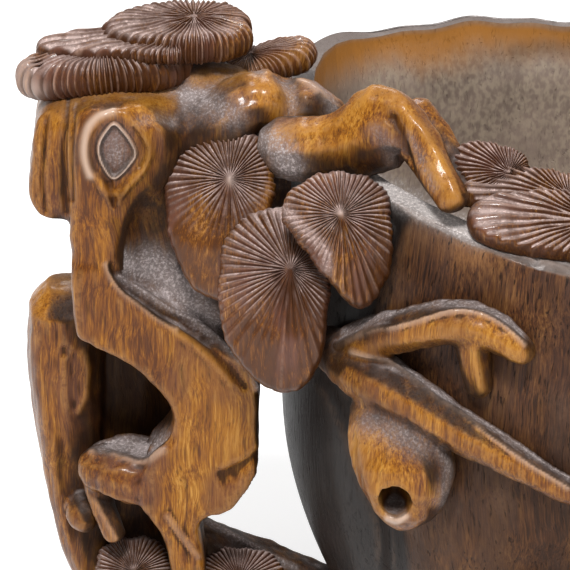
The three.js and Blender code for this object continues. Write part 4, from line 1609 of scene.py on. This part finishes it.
CROWN = Sculpted(
    "handle_crown",
    ("crown_trunk", "cut_knot", "crown_bough", "bark_slab", "front_trunk", "shoulder_bough", "front_root",
     "cross_branch", "slanting_stub", "bridge_bough", "rim_bough"),
    "carved_horn", "horn", voxel=0.41, unused=("cut_knot",),
    refined=((80, 105, 155, 225),),
    grabs=(Grab((-54.4, 2.0, 103.0), (10.0, 8.0, 6.0), (0.0, 0.0, 1.3)),),
    melts=(
        Melt(((66, 262), (100, 262), (126, 266)), 2.4, 90, layer=(-25, -8)),
        Melt(((172, 88), (177, 110), (178, 150), (178, 200)), 3.2, 110, layer=CROWN_FACE),
        Melt(((66, 96), (66, 130), (66, 170), (68, 212)), 2.0, 80, layer=(-25, 6)),
        Melt(((52, 120), (50, 150), (50, 180), (54, 205)), 3.6, 110, layer=(-25, 8)),
        Melt(((60, 100), (100, 88), (140, 88), (176, 98)), 2.4, 60, layer=CROWN_FACE),
        Melt(((122, 205), (132, 190), (146, 186), (165, 190), (176, 205)), 2.2, 80, layer=CROWN_FACE),
        Melt(((118, 215), (122, 240), (128, 262)), 1.6, 60, layer=CROWN_FACE),
        Melt(((150, 432), (166, 436), (172, 440)), 1.4, 40, layer=CROWN_FACE),
    ),
    strokes=(
        Stroke(KNOT_RING, 0.5, 0.7, AMBER, 0.7, closed=True, layer=KNOT_FACE),
        Stroke(((113, 112), (98, 117), (87, 130), (85, 155), (90, 175)), 0.2, 0.55, RUBBED_AND_HIGHLIT, 0.8,
               layer=KNOT_FACE),
        Stroke(KNOT_LOZENGE, -0.45, 0.3, closed=True, filled=True, layer=KNOT_FACE),
        # The lozenge's pale ridge: partly rubbed, partly painted highlight.
        Stroke(KNOT_LOZENGE, 0.65, 0.26, RUBBED_AND_HIGHLIT, 1.0, closed=True, layer=KNOT_FACE),
        Stroke(((134, 128), (142, 142), (146, 152), (140, 166)), -0.3, 0.35, SHADE_AND_DIRT, 0.5, layer=KNOT_FACE),
        Stroke(((116, 158), (114, 140)), 0.0, 2.0, DUSTY, 0.45, layer=KNOT_FACE),
        Stroke(((110, 184), (113, 196), (115, 206)), -0.4, 0.5, SHADE_AND_DIRT, 0.5, layer=KNOT_FACE),
        Stroke(((100, 186), (108, 200), (114, 208), (121, 198), (128, 186)), 0.3, 0.5, layer=KNOT_FACE),
        Stroke(((127, 109), (150, 103), (171, 106)), 0.5, 1.1, AMBER, 0.8, layer=SIDE_FACE),
        Stroke(((140, 121), (158, 118), (172, 122)), -0.4, 0.9, DUSTY, 0.25, layer=SIDE_FACE),
        # Painted shade on the crown's right side and low right, which curve back into the hollow above the
        # saddle.
        Stroke(((146, 150), (160, 160), (164, 190), (158, 215)), 0.0, 3.0, SHADE_AND_DIRT, 0.4, layer=SIDE_FACE),
        Stroke(((134, 200), (146, 220), (158, 240), (170, 225)), 0.0, 3.2, SHADE_AND_DIRT, 0.6, layer=(-25, 6)),
        Stroke(((116, 222), (122, 240), (132, 254)), 0.0, 1.2, SHADE_AND_DIRT, 0.5, layer=(-25, 6)),
        Stroke(((104, 214), (102, 240), (100, 270)), 0.0, 1.0, AMBER, 0.4, layer=KNOT_FACE),
        Stroke(((46, 118), (44, 150), (42, 180), (45, 211)), -0.4, 0.4, SHADE_AND_DIRT, 0.35, layer=SLAB_FACE),
        Stroke(((68, 98), (66, 115), (64, 160), (66, 212)), -0.4, 0.4, SHADE_AND_DIRT, 0.7, layer=SLAB_FACE),
        Stroke(((75, 104), (73, 125), (71, 160), (72, 200)), -0.3, 0.35, SHADE_AND_DIRT, 0.4, layer=SLAB_FACE),
        Stroke(((52, 110), (66, 98), (90, 90), (125, 88), (165, 98)), 0.0, 2.6, AMBER, 0.9, layer=(-25, 4)),
        # The upper ledge's pale line: partly rubbed, partly painted highlight.
        Stroke(((106, 264), (113, 280), (124, 293), (138, 303), (156, 317), (176, 329)), 0.45, 0.45, RUBBED_AND_HIGHLIT,
               0.4, layer=TRUNK_FACE),
        Stroke(((112, 268), (124, 284), (142, 299), (160, 311), (182, 324), (204, 341), (226, 364),
               (244, 386)), -0.6, 0.7, SHADE_AND_DIRT, 0.15, layer=TRUNK_FACE),
        Stroke(((120, 277), (130, 284), (147, 295), (168, 309), (194, 320), (212, 334), (232, 354),
               (250, 371), (256, 388)), 0.6, 0.42, DUSTY, 0.7, layer=TRUNK_FACE),
        Stroke(((176, 331), (196, 345), (214, 362), (230, 382)), 0.35, 0.7, AMBER, 0.8, layer=TRUNK_FACE),
        Stroke(((112, 260), (140, 268), (168, 284), (192, 304), (212, 326)), 0.0, 2.0, DUSTY, 1.0,
               layer=REAR_FACE),
        Stroke(((150, 262), (176, 276), (196, 296)), 0.0, 2.4, DUSTY, 0.9, layer=REAR_FACE),
        Stroke(((222, 476), (238, 468), (258, 456)), -0.7, 1.2, layer=TRUNK_FACE),
        Stroke(((224, 466), (240, 459), (257, 448)), 0.3, 0.7, AMBER, 0.4, layer=TRUNK_FACE),
        Stroke(((230, 498), (244, 486), (252, 474)), 0.4, 1.4, layer=TRUNK_FACE),
        # A painted highlight along the strip's right edge.
        Stroke(((168, 516), (181, 535), (198, 556)), 0.4, 0.5, RUBBED_AND_HIGHLIT, 0.2, layer=TRUNK_FACE),
        Stroke(((104, 440), (126, 442), (147, 445), (164, 442)), -0.9, 1.7, DUSTY, 0.8, layer=(-13, 4)),
        # A painted highlight along the cross branch's front edge.
        Stroke(((92, 450), (103, 448), (126, 456), (143, 461), (162, 450)), 0.4, 0.6, RUBBED_AND_HIGHLIT, 0.5,
               layer=(-18, -6)),
        Stroke(((94, 489), (112, 497), (128, 503), (142, 513)), 0.3, 0.6, layer=(-18, -6)),
        # A painted highlight on the slanting stub's cut end.
        Stroke(((96, 500), (106, 520), (116, 538)), 0.25, 0.6, RUBBED_AND_HIGHLIT, 0.2, layer=(-18, 0)),
        Stroke(((206, 370), (220, 410), (226, 450)), 0.3, 3.0, AMBER, 0.5, layer=TRUNK_FACE),
        Stroke(((190, 96), (212, 104), (232, 114)), -0.2, 2.2, DUSTY, 0.5),
        Stroke(((184, 120), (210, 124), (236, 120)), 0.0, 2.0, SHADE_AND_DIRT, 0.4),
        # Painted shade in the gap between the top clusters and the boughs below them.
        Stroke(((160, 74), (190, 70), (215, 70)), 0.0, 1.4, SHADE_AND_DIRT, 0.6, layer=(-3, 12)),
        Stroke(((196, 82), (222, 78), (250, 72)), 0.0, 2.0, AMBER, 0.7),
        Stroke(((244, 74), (256, 68), (268, 71)), 0.5, 1.4, AMBER, 0.8),
        Stroke(((258, 73), (261, 74)), -0.25, 0.8, DUSTY, 0.5),
        Stroke(((276, 74), (286, 84), (292, 100), (290, 116)), -0.7, 1.1, DUSTY, 0.35),
        Stroke(((296, 80), (310, 86), (322, 96), (330, 112)), 0.5, 0.6, RUBBED_AND_HIGHLIT, 0.4),
        Stroke(((262, 88), (278, 98), (284, 118)), 0.4, 2.4, AMBER, 1.0),
        Stroke(((318, 84), (330, 98), (334, 118)), 0.0, 1.0, DUSTY, 0.5),
    ),
)
REAR = Sculpted(
    "handle_rear_trunk", ("rear_trunk", "inner_trunk", "root_bough", "knob_stub"), "carved_horn", "horn",
    voxel=0.42,
    strokes=(
        # Painted shade: the inside of the hole behind the cross branch is painted nearly black.
        Stroke(((86, 340), (128, 360), (152, 379), (168, 404), (174, 432), (110, 434), (98, 400)), 0.0, 0.6,
               SHADE_AND_DIRT, 0.9, closed=True, filled=True, layer=(0.0, 30)),
        Stroke(((72, 352), (68, 368), (68, 388), (73, 408), (79, 402), (81, 382), (79, 362)), -0.2, 0.6,
               SHADE_AND_DIRT, 0.15, closed=True, filled=True, layer=REAR_FACE),
        Stroke(((83, 350), (87, 362), (88, 380), (85, 398), (79, 412)), 0.2, 0.6, AMBER, 0.4,
               layer=REAR_FACE),
        Stroke(((64, 350), (64, 353)), -0.4, 0.6, SHADE_AND_DIRT, 0.6, layer=REAR_FACE),
        Stroke(((66, 330), (70, 345)), 0.0, 1.4, SHADE_AND_DIRT, 0.3, layer=REAR_FACE),
        Stroke(((60, 430), (66, 470), (76, 520)), -0.15, 1.2, SHADE_AND_DIRT, 0.12, layer=REAR_FACE),
        Stroke(((34, 296), (50, 286), (72, 276)), 0.0, 2.6, AMBER, 0.9, layer=(-20, 12)),
        Stroke(((208, 522), (232, 535), (254, 547), (275, 558), (296, 568)), 0.2, 0.5, DUSTY, 0.6),
        Stroke(((215, 535), (250, 552), (290, 572)), 0.0, 2.6, SHADE_AND_DIRT, 0.6),
    ),
)
KNEE = Sculpted(
    "knee_bough_limb", ("knee_bough", "knee_twig"), "carved_horn", "horn", voxel=0.34,
    strokes=(
        Stroke(((272, 136), (300, 130), (335, 124), (352, 114)), 0.35, 1.3, AMBER, 0.8),
        Stroke(((266, 140), (280, 150), (290, 168)), -0.1, 2.2, DUSTY, 0.8),
        Stroke(((310, 148), (335, 150), (352, 142)), 0.3, 1.6, AMBER, 0.6),
        # Painted shade under the knee bough.
        Stroke(((306, 166), (340, 168), (372, 166)), 0.0, 1.5, SHADE_AND_DIRT, 0.35),
        Stroke(((362, 100), (370, 92), (386, 92), (400, 102)), 0.3, 1.4, AMBER, 1.0),
        # Painted shade in the groove on the shin's left side.
        Stroke(((392, 118), (400, 138), (404, 158), (408, 178)), -1.0, 0.9, SHADE_AND_DIRT, 0.7),
        Stroke(((376, 130), (388, 145), (396, 165)), 0.0, 1.2, DUSTY, 0.25),
        Stroke(((404, 108), (420, 128), (434, 150), (448, 176), (458, 200)), 0.5, 0.7, AMBER, 0.9),
        Stroke(((432, 168), (442, 182), (452, 198)), 0.4, 1.2, AMBER, 1.0),
        Stroke(((410, 138), (422, 162), (434, 188)), -0.3, 0.9, DUSTY, 0.3),
    ),
)
FRONT_BRANCHES = Sculpted(
    "front_branches", ("diagonal_branch", "forked_branch", "fork_stub", "hollow_knot"),
    "carved_horn", "horn", voxel=0.38,
    melts=(
        Melt(((330, 345), (350, 345), (370, 350), (392, 358)), 2.6, 80),
        Melt(((350, 412), (372, 420), (400, 436), (440, 458)), 0.9, 30),
        Melt(((462, 344), (478, 346), (494, 348)), 1.4, 40),
    ),
    strokes=(
        # A painted highlight along the diagonal branch's ridge, with some rubbing.
        Stroke(((352, 352), (382, 360), (406, 372), (434, 396), (459, 412), (493, 438), (523, 460),
               (568, 487)), 0.5, 0.45, RUBBED_AND_HIGHLIT, 0.55),
        Stroke(((400, 362), (432, 386), (462, 405), (503, 430), (533, 452), (569, 474)), -0.35, 0.8, DUSTY,
               0.4),
        Stroke(((380, 384), (430, 418), (470, 440), (520, 470)), 0.2, 1.4, AMBER, 0.3),
        # Painted shade under the diagonal branch's lower edge.
        Stroke(((330, 350), (350, 385), (372, 404), (404, 424)), 0.0, 1.6, SHADE_AND_DIRT, 0.35),
        # A painted highlight along the forked branch's ridge, with some rubbing.
        Stroke(((338, 345), (356, 336), (378, 328), (394, 327), (425, 319), (455, 311), (482, 314),
               (505, 326), (524, 344)), 0.5, 0.45, RUBBED_AND_HIGHLIT, 0.5),
        Stroke(((345, 330), (375, 316), (405, 306), (440, 302), (475, 304), (500, 314), (522, 330)), -0.25,
               0.9, DUSTY, 0.5),
        Stroke(((360, 350), (390, 345), (430, 336), (465, 330), (495, 340), (520, 355)), 0.2, 1.6, AMBER,
               0.6),
        Stroke(((474, 350), (478, 370), (482, 388)), 0.4, 0.8, AMBER, 0.6),
        Stroke(((395, 486), (384, 492), (380, 503), (386, 514), (396, 518), (406, 511), (409, 500),
               (404, 490)), 0.15, 1.0, AMBER, 0.4, closed=True),
        # A painted highlight on the hole's lower lip.
        Stroke(((388, 518), (397, 521), (406, 516)), 0.2, 0.5, RUBBED_AND_HIGHLIT, 0.9),
        # Painted shade inside the hollow knot's hole.
        Stroke(((395, 490), (385, 497), (385, 508), (395, 513), (405, 507), (405, 496)), -0.6, 0.7, SHADE_AND_DIRT,
               0.7, closed=True, filled=True),
        Stroke(((368, 424), (395, 434), (420, 446)), 0.0, 2.2, DUSTY, 0.35),
        Stroke(((438, 450), (448, 470), (440, 500)), 0.3, 1.0, DUSTY, 0.3),
        Stroke(((362, 440), (370, 470), (376, 490)), 0.0, 2.0, AMBER, 0.5),
    ),
)
BACK_BRANCH = Sculpted("back_wall_branch", ("back_branch",), "carved_horn", "horn", voxel=0.42)
VESSEL = Vessel(
    "vessel_body", ("vessel", "front_relief_trunk", "back_relief_trunk"), "vessel_horn", "dark_horn",
    strokes=(
        Stroke(((376, 184), (392, 192), (420, 206), (450, 220), (478, 234)), 0.0, 1.6, DUSTY, 0.95),
        Stroke(((376, 186), (394, 196)), 0.0, 1.3, DUSTY, 1.2),
        Stroke(((515, 52), (545, 48), (572, 50)), 0.0, 2.2, SHADE_AND_DIRT, 0.45, layer=(5, 60)),
        # A painted highlight along the lip's outer edge, with some rubbing.
        Stroke(((396, 203), (420, 216), (460, 231), (500, 246), (530, 257), (570, 270)), 0.2, 0.45, RUBBED_AND_HIGHLIT,
               0.7),
        Stroke(((400, 226), (430, 236), (460, 248), (480, 256)), 0.0, 2.2, AMBER, 0.7),
        # Painted shade on the wall under the lip.
        Stroke(((398, 262), (420, 276), (450, 288)), 0.0, 3.0, SHADE_AND_DIRT, 0.6),
        Stroke(((322, 372), (350, 424), (365, 470), (384, 522), (386, 570)), -0.3, 0.8, SHADE_AND_DIRT, 0.8),
        # Painted shade in the recess between the forked and diagonal branches.
        Stroke(((420, 360), (440, 378), (460, 396)), 0.0, 3.0, SHADE_AND_DIRT, 0.5),
        Stroke(((430, 530), (450, 550), (480, 565)), 0.0, 5.0, AMBER, 0.3),
        Stroke(((453, 450), (454, 480), (453, 520)), -0.25, 0.35, SHADE_AND_DIRT, 0.6),
        Stroke(((538, 262), (538, 263)), -1.0, 0.7, SHADE_AND_DIRT, 1.0),
        Stroke(((538, 264), (537, 282), (538, 300)), -0.2, 0.3, SHADE_AND_DIRT, 0.7),
    ),
)

FINISHES = (Finish("carved_horn"), NeedleFinish(), VesselFinish())


def main() -> None:
    """Builds the cup over its frame."""
    logging.basicConfig(level=logging.INFO, format="%(message)s")
    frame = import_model()
    solid_box = [list(corner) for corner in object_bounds()]
    camera = Camera()
    camera.place()
    Studio().build()
    for make_effect in (make_horn_fibres, make_settled_dust, make_shade_and_dirt_mask, make_rubbed_and_highlit_edges):
        make_effect()
    for finish in FINISHES:
        finish.make()
    shop = Workshop(frame, solid_box, camera, Shelter(list(frame["nodes"].values())))
    for piece in (VESSEL, CROWN, REAR, KNEE, FRONT_BRANCHES, BACK_BRANCH, *clusters()):
        piece.build(shop)


if __name__ == "__main__":
    main()
